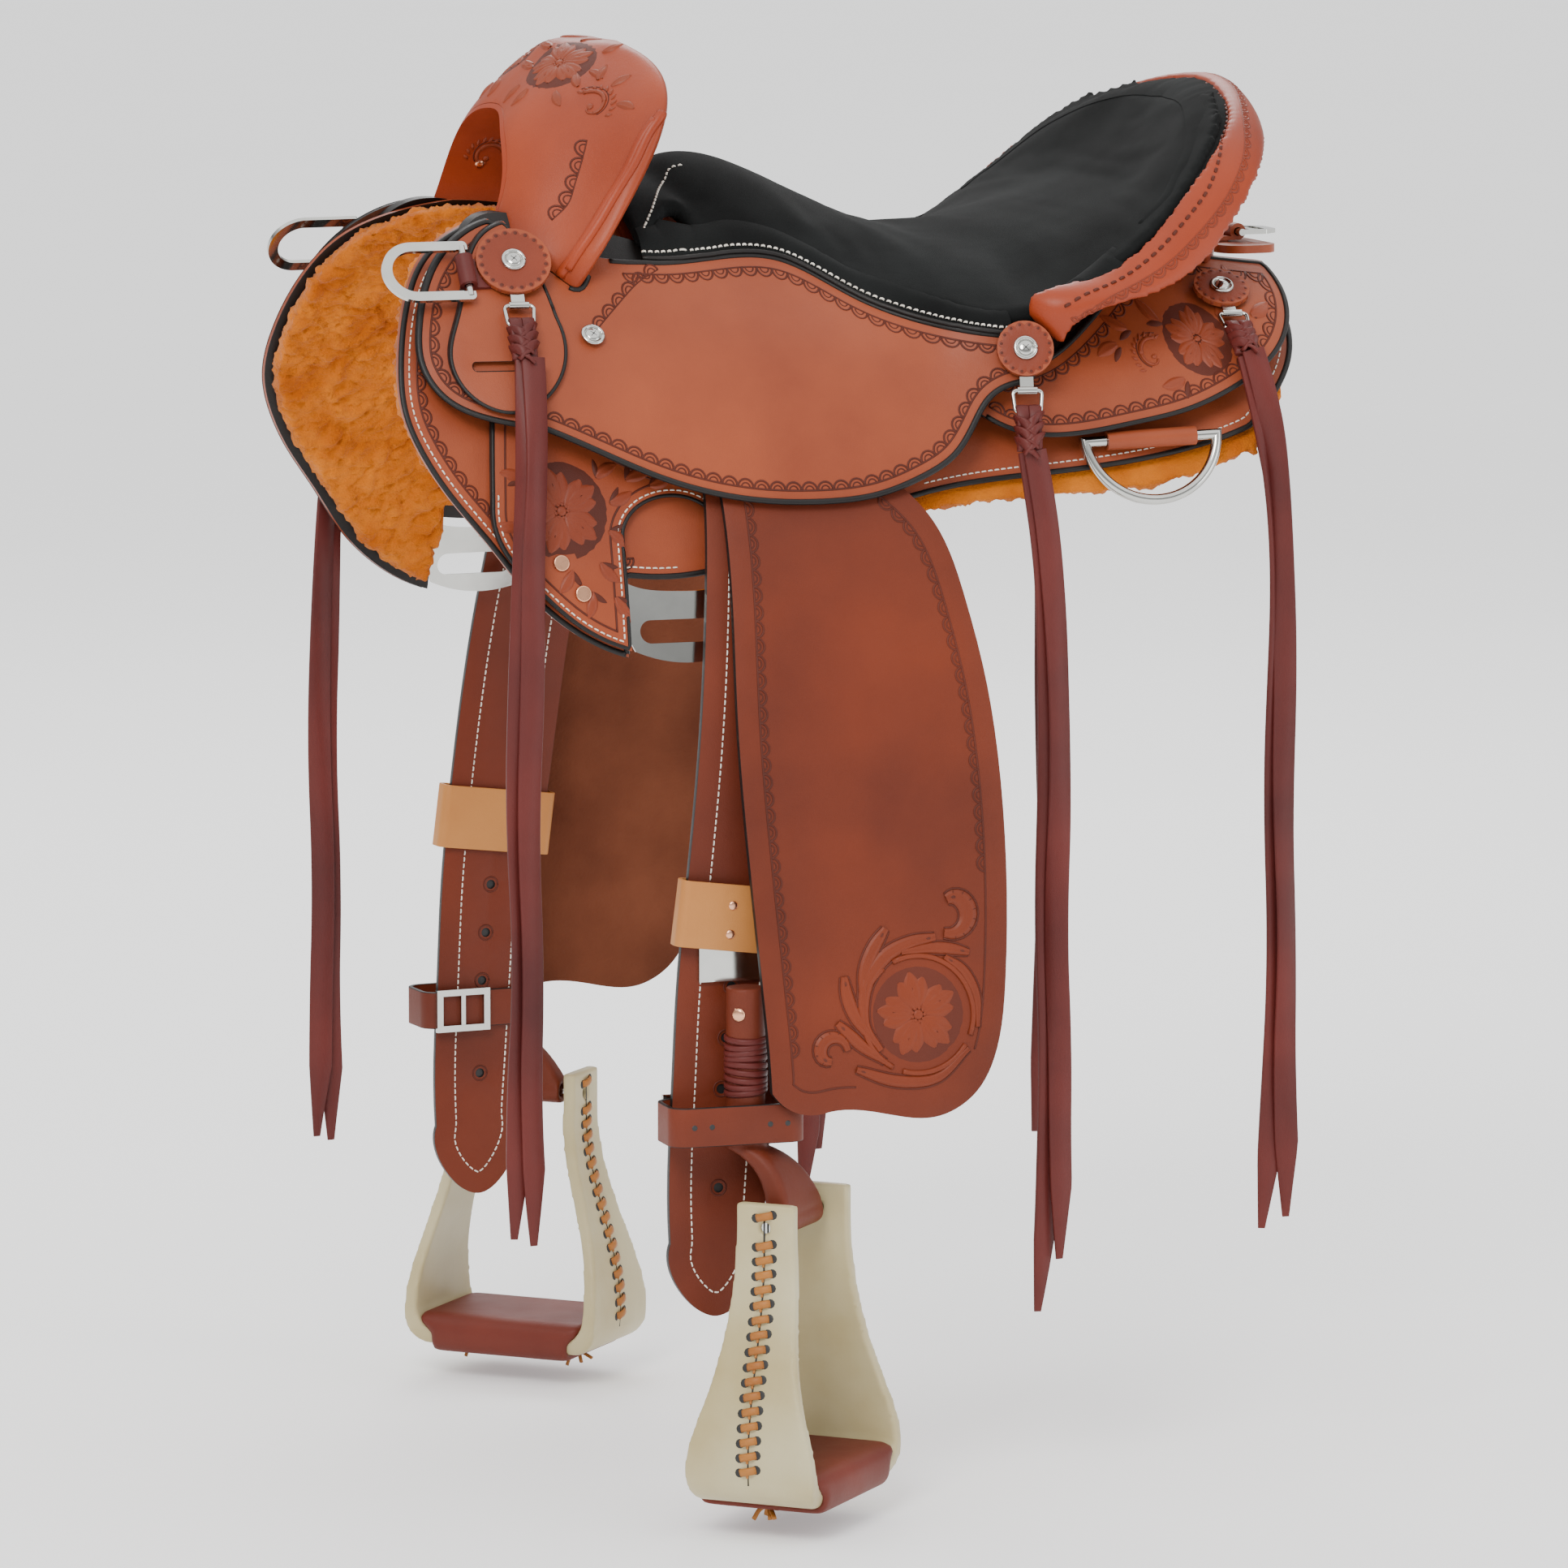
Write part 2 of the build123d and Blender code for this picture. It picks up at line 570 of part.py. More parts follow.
def side_leathers(bar):
    swell = swell_body(-0.4)
    jockey = layer(SEAT_JOCKEY_OUTLINE, JOCKEY[JOCKEY_THICK], JOCKEY[0.0])
    pad_room = seat_block(-0.3, -1.0) - seat_block(60.0, -1.0)
    jockey = one_solid(jockey - pad_room - (swell & box_at(-300, 0, 0, 300, 50, 240)) - bar)
    save_twins("seat_jockey", jockey)
    rear = layer(REAR_JOCKEY_OUTLINE, FORM[REAR_JOCKEY_IN + JOCKEY_THICK], FORM[REAR_JOCKEY_IN])
    rear = one_solid(rear - pad_room - jockey)
    save_twins("rear_jockey", rear)
    rigging = layer(RIGGING_OUTLINE, FORM[RIG_IN + RIG_THICK], FORM[RIG_IN])
    plate = layer(PLATE_OUTLINE, FORM[LAYER_GAP + PLATE_THICK], FORM[LAYER_GAP])
    save("rigging_plates", both(one_solid(plate - slot_cut(PLATE_SLOT))))
    keeper = layer(KEEPER_OUTLINE, JOCKEY[2 * JOCKEY_THICK + LAYER_GAP], JOCKEY[JOCKEY_THICK + LAYER_GAP])
    keeper = one_solid(keeper - slot_cut(KEEPER_SLOT) - swell)
    save("latigo_keepers", both(keeper))
    rig_face = lambda x, z: form_y(x, z, RIG_IN + RIG_THICK)
    rivets = rivet_group([(-203, -117), (-190, -137)], rig_face, 5.5, 1.6, RIG_THICK - 0.5)
    for rivet in rivets:
        rigging -= rivet
    save_twins("rigging_leather", one_solid(rigging))
    save("rigging_rivets", both(rivets))
    return jockey, rear, keeper


# ---- hardware on the side leathers -------------------------------------------------------------------
CONCHO_FRONT = (-209, 74)
CONCHO_MIDDLE = (126, 12)
CONCHO_REAR = (292, 42)
JOCKEY_SCREW = (-164, 28)
ROSETTE_FRONT_R = 25.0
ROSETTE_R = 19.0
ROSETTE_THICK = 3.5


def face_out(extra):
    return lambda x, z: jockey_y(x, z, JOCKEY_THICK + extra)


def rear_face_out(extra):
    return lambda x, z: form_y(x, z, REAR_JOCKEY_IN + JOCKEY_THICK + extra)


CONCHOS = (
    (CONCHO_FRONT, face_out(7.5), ROSETTE_FRONT_R),
    (CONCHO_MIDDLE, face_out(3.0), ROSETTE_R),
    (CONCHO_REAR, rear_face_out(2.6), ROSETTE_R),
)


def concho_room(at, face, radius):
    """Space that a rosette and its screw stand in."""
    return surface_plane(face, *at) * Pos(0, 0, 18) * Cylinder(radius + 0.6, 37)


def conchos():
    """Leather rosettes with their screws, and the wire dees of the strings hung in steel clips."""
    rosettes, screws, clips = [], [], []
    for (x, z), face, radius in CONCHOS:
        plane = surface_plane(face, x, z)
        disc = plane * Pos(0, 0, ROSETTE_THICK / 2) * Cylinder(radius, ROSETTE_THICK)
        stem = Pos(0, 0, -ROSETTE_THICK / 2) * Cylinder(2.5, ROSETTE_THICK)
        screw = plane * Pos(0, 0, ROSETTE_THICK) * (Pos(0, 0, 0.6) * Cylinder(8.2, 1.2) + stem)
        rosettes.append(one_solid(disc - screw))
        screws.append(one_solid(screw))
        clips += string_hanger(plane, radius)
    x, z = JOCKEY_SCREW
    screws.append(surface_plane(face_out(0.2), x, z) * Pos(0, 0, 1.0) * Cylinder(6.5, 2.0))
    save("rosettes", both(rosettes))
    save("concho_screws", both(screws))
    save("string_dees", both(clips))


def string_hanger(plane, radius):
    """Steel clip under a rosette and the wire dee that hangs in it, in the surface plane."""
    clip = Pos(0, -radius - 5.0, 1.2) * Box(9, 9.4, 1.2)
    barrel = Pos(0, -radius - 10.0, 2.6) * Rot(0, 90, 0) * (Cylinder(2.6, 13) - Cylinder(1.45, 13))
    path = Wire(Polyline((-10, 7, 0), (10, 7, 0), (8.5, -8, 0), (-8.5, -8, 0), close=True).edges())
    path = path.fillet_2d(3.0, path.vertices())
    ring_at = Pos(0, -radius - 17.0, 2.6)
    section = Plane(origin=path @ 0, z_dir=path % 0) * Circle(1.35)
    ring = ring_at * sweep(section, path=path)
    return [one_solid(plane * (clip + barrel)), one_solid(plane * ring)]


# ---- dees ------------------------------------------------------------------------------------------
FRONT_DEE_AT = (-243, 70)
FRONT_DEE_WIDE = 38.0
FRONT_DEE_LONG = 54.0
REAR_DEE_AT = (215, -50)
REAR_DEE_WIDE = 92.0
REAR_DEE_DEEP = 42.0
REAR_DEE_WIRE = 3.6
CRUPPER_AT = (362.0, 0.0, 70.0)


def bow_path(wide, deep):
    """Closed D: straight bar along X through the origin, bow towards -Y."""
    half, corner = wide / 2, deep - wide / 2
    return Wire([
        Edge.make_line(Vector(half, 0), Vector(-half, 0)),
        Edge.make_line(Vector(-half, 0), Vector(-half, -corner)),
        Edge.make_three_point_arc(Vector(-half, -corner), Vector(0, -deep), Vector(half, -corner)),
        Edge.make_line(Vector(half, -corner), Vector(half, 0)),
    ])


def front_dee_plane():
    """At the straight bar: local X up the bar, local -Y forward, lying along the jockey."""
    plane = surface_plane(face_out(13.0), *FRONT_DEE_AT)
    forward = plane.x_dir if plane.x_dir.X < 0 else plane.x_dir * -1
    up = plane.z_dir.cross(forward)
    up = up if up.Z > 0 else up * -1
    return Plane(origin=plane.origin, x_dir=up, z_dir=up.cross(forward * -1))


def front_dees(keeper):
    """Flat dee with a round bar, and the leather loop that holds the bar beside the rosette."""
    plane = front_dee_plane()
    flat = make_face(bow_path(FRONT_DEE_WIDE, FRONT_DEE_LONG))
    blade = extrude(offset(flat, 3.4), 1.5, both=True) - extrude(offset(flat, -3.4), 4, both=True)
    bar = Rot(0, 90, 0) * Cylinder(2.4, FRONT_DEE_WIDE)
    dee = one_solid((blade - Box(FRONT_DEE_WIDE - 6, 9, 6)) + bar)
    save_twins("front_dee", plane * dee)
    ring = Rot(0, 90, 0) * Cylinder(5.9, 22)
    tail = Pos(0, 12.5, -4.2) * Box(22, 18, 3.0)
    web = Pos(0, 4.6, -3.6) * Box(22, 4.0, 4.2)
    bore = Rot(0, 90, 0) * Cylinder(3.0, 24)
    loop = plane * one_solid(ring + tail + web - bore)
    return one_solid(loop - concho_room(*CONCHOS[0]) - keeper)


def rear_dee_plane():
    """At the straight bar: local X along the saddle, local -Y down the skirt."""
    plane = surface_plane(lambda x, z: form_y(x, z, 9.0), *REAR_DEE_AT)
    x_dir = plane.x_dir if plane.x_dir.X > 0 else plane.x_dir * -1
    down = Vector(0, 0.34, -1).normalized()
    along = (x_dir - down * x_dir.dot(down)).normalized()
    return Plane(origin=plane.origin, x_dir=along, z_dir=along.cross(down * -1))


def rear_dees():
    """Round-wire dee and the leather sleeve that holds its bar to the skirt."""
    plane = rear_dee_plane()
    half = REAR_DEE_WIDE / 2
    bow = Wire([
        Edge.make_line(Vector(0, 0), Vector(-half, 0)),
        Edge.make_three_point_arc(Vector(-half, 0), Vector(0, -REAR_DEE_DEEP), Vector(half, 0)),
        Edge.make_line(Vector(half, 0), Vector(0, 0)),
    ])
    section = Plane(origin=bow @ 0, z_dir=bow % 0) * Circle(REAR_DEE_WIRE)
    ring = sweep(section, path=bow, transition=Transition.RIGHT)
    save_twins("rear_dee", plane * one_solid(ring))
    return plane * (Rot(0, 90, 0) * (Cylinder(REAR_DEE_WIRE + 2.7, 62) - Cylinder(REAR_DEE_WIRE + 0.4, 62)))


def dee_parts(keeper, rear_jockey):
    """The side dees and the leather that carries them."""
    front_loop = front_dees(keeper)
    rear_loop = rear_dees()
    save("front_dee_loops", both(front_loop))
    save("rear_dee_straps", both(one_solid(rear_loop - rear_jockey)))


def crupper_dee():
    """Slotted steel dee standing out behind the cantle, and the stitched tab that carries it."""
    x, y, z = CRUPPER_AT
    outline = Polyline((-2, -19), (-2, 19), (16, 19), (26, 11), (26, -11), (16, -19), close=True)
    blade = extrude(make_face(outline), 3)
    blade = fillet(blade.edges().filter_by(Axis.Z), 2.0)
    slot = Pos(14, 0, -1) * Rot(0, 0, 90) * extrude(SlotOverall(26, 7), 6)
    barrel = Pos(-2.5, 0, 1.5) * Rot(90, 0, 0) * Cylinder(2.4, 38)
    window = Pos(2.6, 0, 1.5) * Box(5.4, 26, 6)
    plate = one_solid(((blade - slot) - window) + barrel)
    save("crupper_dee", Pos(x, y, z - 1.5) * plate)
    ring = Pos(x - 2.5, y, z) * Rot(90, 0, 0) * Cylinder(5.8, 22)
    tongue = Pos(x - 14, y, z - 4.4) * Box(20, 22, 2.8)
    bore = Pos(x - 2.5, y, z) * Rot(90, 0, 0) * Cylinder(3.0, 24)
    flap = box_at(x - 26, x + 16, -44, 44, z - 12.5, z - 7.0)
    flap = fillet(flap.edges().filter_by(Axis.Z), 16)
    post = box_at(x - 24, x - 9, -9, 9, z - 7.2, z - 4.0)
    save("rear_tab", one_solid(ring + tongue + flap + post - bore))


# ---- leg hardware ---------------------------------------------------------------------------------------
STRAP_Y = 242.0
SLEEVE_AT = (-93.6, -350.0)
SLEEVE_HIGH = 44.0
STRAP_LEAN = 7.2
LOOP_AT = (-98.0, 258.0)
LOOP_R = 13.0
LOOP_TOP = -394.0
LOOP_LOW = -500.0
HOBBLE_TOP = -470.0
HOBBLE_HIGH = 26.0


def sleeve():
    """Leather keeper that slides on the stirrup leather and holds its buckle closed."""
    inner_wide, inner_deep, wall = 80.0, 13.0, 2.5
    outer = Box(inner_wide + 2 * wall, inner_deep + 2 * wall, SLEEVE_HIGH)
    outer = fillet(outer.edges().filter_by(Axis.Z), 6)
    inner = fillet(Box(inner_wide, inner_deep, SLEEVE_HIGH + 2).edges().filter_by(Axis.Z), 4)
    x, z = SLEEVE_AT
    placed = Pos(x, STRAP_Y + 2.5, z) * Rot(0, STRAP_LEAN, 0) * (outer - inner)
    save_twins("sleeve", one_solid(leg_turn(placed)))


def stirrup_frame():
    return Pos(*STIRRUP_AT) * Rot(0, 0, STIRRUP_TURN)


def leather_loop():
    """Wrapped end of the fender leather, looped round the stirrup bolt."""
    place = stirrup_frame()
    ring = place * Rot(0, 90, 0) * (Cylinder(9.0, 60) - Cylinder(STIRRUP_BOLT_R + 0.5, 60))
    low = place * Pos(0, 0, 7.0) * RectangleRounded(60, 17, 4)
    mid = Pos(-83, 264.5, LOOP_LOW - 10) * Rot(0, 0, STIRRUP_TURN) * RectangleRounded(39, 18, 6)
    high = Pos(LOOP_AT[0], LOOP_AT[1], LOOP_LOW) * Rot(0, 0, STIRRUP_TURN) * RectangleRounded(27, 24, 8)
    taper = loft([low, mid, high])
    column = Pos(LOOP_AT[0], LOOP_AT[1], (LOOP_TOP + LOOP_LOW) / 2) * Cylinder(LOOP_R, LOOP_TOP - LOOP_LOW)
    bore = place * Rot(0, 90, 0) * Cylinder(STIRRUP_BOLT_R + 0.5, 80)
    save_twins("leather_loop", one_solid(ring + taper + column - bore))


def hobble():
    """Strap round the stirrup leather and its loop, and the leg's two buckles.

    One is the post plate in the leather's holes, the other the roller buckle of the strap."""
    x0, x1, y0, y1 = -149.0, -56.0, STRAP_Y - 6.5, LOOP_AT[1] + LOOP_R + 8.0
    z0, z1 = HOBBLE_TOP - HOBBLE_HIGH, HOBBLE_TOP
    outer = fillet(box_at(x0, x1, y0, y1, z0, z1).edges().filter_by(Axis.Z), 12)
    inner = fillet(box_at(x0 + 3, x1 - 3, y0 + 3, y1 - 3, z0 - 1, z1 + 1).edges().filter_by(Axis.Z), 9)
    save_twins("hobble_strap", one_solid(leg_turn(outer - inner)))
    frame = Box(40, 3.4, 30) - Box(31, 6, 21) + Box(3.2, 2.6, 24)
    roller = leg_turn(Pos(-122, y0 - 1.9, (z0 + z1) / 2) * frame)
    x, z = SLEEVE_AT
    face = STRAP_Y + LEATHER / 2
    plate = box_at(x - 27, x + 23, face + 0.7, face + 2.9, z - 42, z + 16)
    hole_x, hole_z = STRAP_HOLES[0]
    stud = Pos(hole_x, face - 1.4, hole_z) * Rot(90, 0, 0) * Cylinder(2.6, 5.4)
    save_twins("leg_buckles", Compound(children=[one_solid(roller), one_solid(leg_turn(plate) + stud)]))


def stirrup_bell(inset):
    """Filled bell outline of the stirrup seen from the front, inset by a wall thickness."""
    top, low = STIRRUP_TOP_HALF - inset, STIRRUP_BOTTOM_HALF - inset
    floor, foot = -STIRRUP_DROP + inset, 18.0
    head = STIRRUP_RISE + (40 if inset else 0)
    right = [Vector(top, 0, head), Vector(top, 0, -14), Vector(top + 6, 0, -60),
             Vector(low - 2, 0, -STIRRUP_DROP * 0.7), Vector(low, 0, floor + foot)]
    left = [Vector(-v.X, 0, v.Z) for v in right]
    corner = Vector(low - foot * 0.3, 0, floor + foot * 0.3)
    toes = Vector(low - foot, 0, floor), Vector(foot - low, 0, floor)
    edges = [
        Edge.make_line(right[0], right[1]), Edge.make_spline(right[1:]),
        Edge.make_three_point_arc(right[-1], corner, toes[0]), Edge.make_line(*toes),
        Edge.make_three_point_arc(toes[1], Vector(-corner.X, 0, corner.Z), left[-1]),
        Edge.make_spline(list(reversed(left[1:]))), Edge.make_line(left[1], left[0]),
        Edge.make_line(left[0], right[0]),
    ]
    return Pos(0, -70, 0) * Solid.extrude(Face(Wire(edges)), Vector(0, 140, 0))


def stirrup_profile(grow):
    """Filled outline of the stirrup seen from its side: narrow at the top, wide at the tread."""
    half_top, half_low = STIRRUP_TOP_DEEP / 2 + grow, STIRRUP_BOTTOM_DEEP / 2 + grow
    points = [(half_top, STIRRUP_RISE + 1), (half_top + 1, -30), (half_low - 10, -STIRRUP_DROP * 0.62),
              (half_low, -STIRRUP_DROP + 6), (half_low - 3, -STIRRUP_DROP - grow - 1)]
    right = [Vector(-120, y, z) for y, z in points]
    left = [Vector(-120, -y, z) for y, z in points]
    edges = [Edge.make_spline(right), Edge.make_line(right[-1], left[-1]),
             Edge.make_spline(list(reversed(left))), Edge.make_line(left[0], right[0])]
    return Solid.extrude(Face(Wire(edges)), Vector(240, 0, 0))


def stirrup():
    """Bell-bottomed wooden stirrup covered in rawhide, its leather tread and its bolt."""
    bolt = Rot(0, 90, 0) * Cylinder(STIRRUP_BOLT_R, 2 * STIRRUP_TOP_HALF + 6)
    for side in (1, -1):
        bolt += Pos(side * (STIRRUP_TOP_HALF + 1.6), 0, 0) * Rot(0, 90, 0) * Cylinder(7.0, 3.0)
    frame = (stirrup_bell(0.0) - stirrup_bell(STIRRUP_WALL)) & stirrup_profile(0.0)
    frame = one_solid(frame - bolt)
    tread_wide, floor = 2 * STIRRUP_BOTTOM_HALF - 40, -STIRRUP_DROP
    block = Box(2 * STIRRUP_BOTTOM_HALF - 14, STIRRUP_BOTTOM_DEEP + 6, 26)
    block = Pos(0, 0, floor + 9.0) * fillet(block.edges().filter_by(Axis.X), 9)
    inside = stirrup_bell(STIRRUP_WALL) & block
    wrap = (block - stirrup_profile(0.4)) & Pos(0, 0, floor + 6) * Box(tread_wide, 200, 30)
    under = Pos(0, 0, floor - 2.0) * Box(tread_wide, STIRRUP_BOTTOM_DEEP - 2, 4.0)
    tread = one_solid((inside + wrap + under) - frame)
    place = stirrup_frame()
    save_twins("stirrup", place * frame)
    save_twins("stirrup_tread", place * tread)
    save_twins("stirrup_bolt", place * one_solid(bolt))


# ---- saddle strings ----------------------------------------------------------------------------------
# Each string is one strap held by a split-braid knot, with two tails. Routes run from the knot down.
KNOT_DROP = 26.8
KNOT_HIGH = 24.0
FRONT_TAILS = (
    ((-217, 168.5, 13.5), (-222, 184, -12), (-229, 198, -52), (-236, 206, -110), (-241, 208, -185),
     (-243, 207, -285), (-238, 208, -385), (-242, 207, -478), (-240, 208, -562)),
    ((-214, 172, 16.5), (-217, 189, -12), (-219, 203, -55), (-224, 210.5, -115), (-223, 212, -190),
     (-227, 211.5, -290), (-224, 212, -385), (-229, 211.5, -480), (-226, 212, -566)),
)
MIDDLE_TAILS = (
    ((119, 217.5, -53.5), (122, 220, -80), (126, 220.5, -118), (130, 219.5, -180), (131, 219, -270),
     (127, 219.5, -370), (131, 219, -460), (129, 219.5, -550), (127, 219, -634)),
    ((121, 221.5, -52.5), (127, 224, -82), (134, 224.5, -120), (140, 223.5, -185), (143, 223, -275),
     (139, 223.5, -370), (144, 223, -455), (141, 223.5, -530), (143, 223, -598)),
)
REAR_TAILS = (
    ((286, 196.5, 3.5), (290, 202, -24), (296, 203.5, -60), (301, 202.5, -120), (303, 201.5, -200),
     (300, 202, -300), (304, 201.5, -400), (302, 202, -500), (299, 201.5, -592)),
    ((288, 199.5, 7.5), (296, 206, -22), (304, 207.5, -60), (309, 206.5, -122), (314, 205.5, -205),
     (312, 206, -300), (317, 205.5, -400), (313, 206, -495), (318, 205.5, -584)),
)
STRINGS = (("front", FRONT_TAILS), ("middle", MIDDLE_TAILS), ("rear", REAR_TAILS))


def tail(points):
    """Flat leather tail: straight runs joined by wide arcs."""
    spots = [Vector(*p) for p in points]
    radii = []
    for a, b, c in zip(spots, spots[1:], spots[2:]):
        turn = math.radians((b - a).get_angle(c - b))
        radii.append(0.45 * min((b - a).length, (c - b).length) / math.tan(turn / 2))
    path = FilletPolyline(*spots, radius=radii)
    start = Plane(origin=path @ 0, x_dir=(1, 0, 0), z_dir=path % 0)
    return sweep(start * Rectangle(STRING_WIDTH, STRING_THICK), path=path)


def knot(at, face, radius):
    """Split-braid knot below a wire dee, lying in the surface plane of its rosette."""
    body = Box(27, KNOT_HIGH, 9) - Pos(0, 0, 4.5) * Rot(0, 0, 45) * Box(9, 9, 2)
    return surface_plane(face, *at) * Pos(0, -radius - KNOT_DROP - KNOT_HIGH / 2, 4.0) * body


def strings():
    for (name, routes), concho in zip(STRINGS, CONCHOS):
        pieces = [one_solid(knot(*concho))]
        for route in routes:
            pieces.append(one_solid(tail(route) - pieces[0]))
        save_twins(f"{name}_string", Compound(children=pieces))


# ---- build ---------------------------------------------------------------------------------------------
def main():
    skirt = skirts()
    bar = tree_bar()
    jockey, rear_jockey, keeper = side_leathers(bar)
    fork_parts(bar, jockey)
    seat_parts(bar, jockey, skirt)
    cantle_parts(bar, jockey, rear_jockey)
    conchos()
    dee_parts(keeper, rear_jockey)
    crupper_dee()
    fender()
    stirrup_leather()
    hanger_bolts()
    sleeve()
    leather_loop()
    hobble()
    stirrup()
    strings()


main()
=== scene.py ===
import json
import math

import bmesh
import bpy
import numpy as np
from mathutils import Matrix, Vector, noise
from mathutils.bvhtree import BVHTree


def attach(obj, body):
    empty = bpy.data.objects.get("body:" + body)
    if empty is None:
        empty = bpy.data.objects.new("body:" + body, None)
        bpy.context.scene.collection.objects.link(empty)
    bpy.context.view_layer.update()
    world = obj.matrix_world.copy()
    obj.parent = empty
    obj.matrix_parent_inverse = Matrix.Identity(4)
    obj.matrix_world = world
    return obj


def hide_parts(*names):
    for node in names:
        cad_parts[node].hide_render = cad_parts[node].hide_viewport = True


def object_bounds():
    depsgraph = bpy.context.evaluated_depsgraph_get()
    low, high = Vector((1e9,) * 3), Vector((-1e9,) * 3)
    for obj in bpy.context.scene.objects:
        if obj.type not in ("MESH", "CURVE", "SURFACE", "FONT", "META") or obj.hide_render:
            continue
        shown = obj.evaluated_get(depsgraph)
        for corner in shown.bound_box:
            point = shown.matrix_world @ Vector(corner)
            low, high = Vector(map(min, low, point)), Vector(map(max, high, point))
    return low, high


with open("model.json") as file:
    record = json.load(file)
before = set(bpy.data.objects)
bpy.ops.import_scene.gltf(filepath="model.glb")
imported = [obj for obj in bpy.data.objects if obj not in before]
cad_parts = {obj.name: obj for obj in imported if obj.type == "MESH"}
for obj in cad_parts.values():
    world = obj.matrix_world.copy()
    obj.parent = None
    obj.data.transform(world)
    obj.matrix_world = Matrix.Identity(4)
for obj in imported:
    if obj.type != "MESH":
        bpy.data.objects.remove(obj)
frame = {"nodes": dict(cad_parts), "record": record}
CAD_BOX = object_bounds()

MM = 0.001
SIDES = (("near", -1), ("off", 1))
NODES = frame["nodes"]
BODY_OF = {n: b for b, ns in frame["record"]["behaviour"]["bodies"].items() for n in ns}


# ---- materials ----------------------------------------------------------------------------------
def node(nt, kind, **values):
    """New shader node with some inputs or settings given by name."""
    made = nt.nodes.new(kind)
    for key, value in values.items():
        if key in made.inputs:
            made.inputs[key].default_value = value
        else:
            setattr(made, key, value)
    return made


def blank(name):
    """Material with one shader: returns it, its tree, the shader and the object coordinates."""
    made = bpy.data.materials.new(name)
    made.use_nodes = True
    nt = made.node_tree
    nt.nodes.clear()
    shader = node(nt, "ShaderNodeBsdfPrincipled")
    out = node(nt, "ShaderNodeOutputMaterial")
    nt.links.new(shader.outputs[0], out.inputs[0])
    place = node(nt, "ShaderNodeTexCoord")
    return made, nt, shader, place.outputs["Object"]


def ramp(nt, source, stops):
    """Colours picked along a value."""
    made = node(nt, "ShaderNodeValToRGB")
    elements = made.color_ramp.elements
    while len(elements) < len(stops):
        elements.new(0.5)
    for element, (at, colour) in zip(elements, stops):
        element.position = at
        element.color = (*colour, 1)
    nt.links.new(source, made.inputs[0])
    return made.outputs[0]


def grain(nt, place, scale, detail=3.0, kind="ShaderNodeTexNoise"):
    """Noise of one scale."""
    made = node(nt, kind, Scale=scale)
    if "Detail" in made.inputs:
        made.inputs["Detail"].default_value = detail
    nt.links.new(place, made.inputs["Vector"])
    return made.outputs[0]


def bump(nt, heights, shader):
    """Stacked bump maps, each a (source, strength, distance)."""
    last = None
    for source, strength, distance in heights:
        made = node(nt, "ShaderNodeBump", Strength=strength, Distance=distance)
        nt.links.new(source, made.inputs["Height"])
        if last:
            nt.links.new(last.outputs[0], made.inputs["Normal"])
        last = made
    nt.links.new(last.outputs[0], shader.inputs["Normal"])


def spread(nt, source, low, high, socket):
    """Feeds a value into a socket, stretched from low to high."""
    made = node(nt, "ShaderNodeMapRange", **{"To Min": low, "To Max": high})
    nt.links.new(source, made.inputs[0])
    nt.links.new(made.outputs[0], socket)


def leather(name, light, dark, rough=(0.34, 0.5), pores=0.25, coat=0.0):
    """Vegetable-tanned leather: clouded dye, fine pore grain, faint creases."""
    made, nt, shader, place = blank(name)
    clouds = grain(nt, place, 9.0, 6.0)
    middle = tuple((a + b) / 2 for a, b in zip(light, dark))
    nt.links.new(ramp(nt, clouds, [(0.28, dark), (0.5, middle), (0.72, light)]), shader.inputs["Base Color"])
    spread(nt, grain(nt, place, 40.0), rough[0], rough[1], shader.inputs["Roughness"])
    cells = grain(nt, place, 1300.0, kind="ShaderNodeTexVoronoi")
    creases = grain(nt, place, 260.0, 5.0)
    bump(nt, [(cells, pores, 0.00025), (creases, 0.22, 0.0005), (clouds, 0.12, 0.0025)], shader)
    shader.inputs["Specular IOR Level"].default_value = 0.24
    shader.inputs["Coat Weight"].default_value = coat
    shader.inputs["Coat Roughness"].default_value = 0.3
    return made


def napped(name, dark, light, sheen, fine, patches=14.0, height=0.0006):
    """Suede or wool: no gloss, brushed patches, soft sheen."""
    made, nt, shader, place = blank(name)
    brushed = grain(nt, place, patches, 5.0)
    nt.links.new(ramp(nt, brushed, [(0.34, dark), (0.68, light)]), shader.inputs["Base Color"])
    shader.inputs["Roughness"].default_value = 0.95
    shader.inputs["Sheen Weight"].default_value = sheen
    shader.inputs["Sheen Roughness"].default_value = 0.45
    shader.inputs["Specular IOR Level"].default_value = 0.08
    bump(nt, [(grain(nt, place, fine, 6.0), 0.55, height), (brushed, 0.2, 0.003)], shader)
    return made


def metal(name, colour, rough=(0.2, 0.36)):
    """Polished metal with faint wear."""
    made, nt, shader, place = blank(name)
    shader.inputs["Metallic"].default_value = 1.0
    tone = tuple(c * 0.9 for c in colour)
    nt.links.new(ramp(nt, grain(nt, place, 60.0), [(0.3, tone), (0.7, colour)]), shader.inputs["Base Color"])
    spread(nt, grain(nt, place, 180.0, 8.0), rough[0], rough[1], shader.inputs["Roughness"])
    bump(nt, [(grain(nt, place, 240.0, 2.0), 0.02, 0.0002)], shader)
    return made


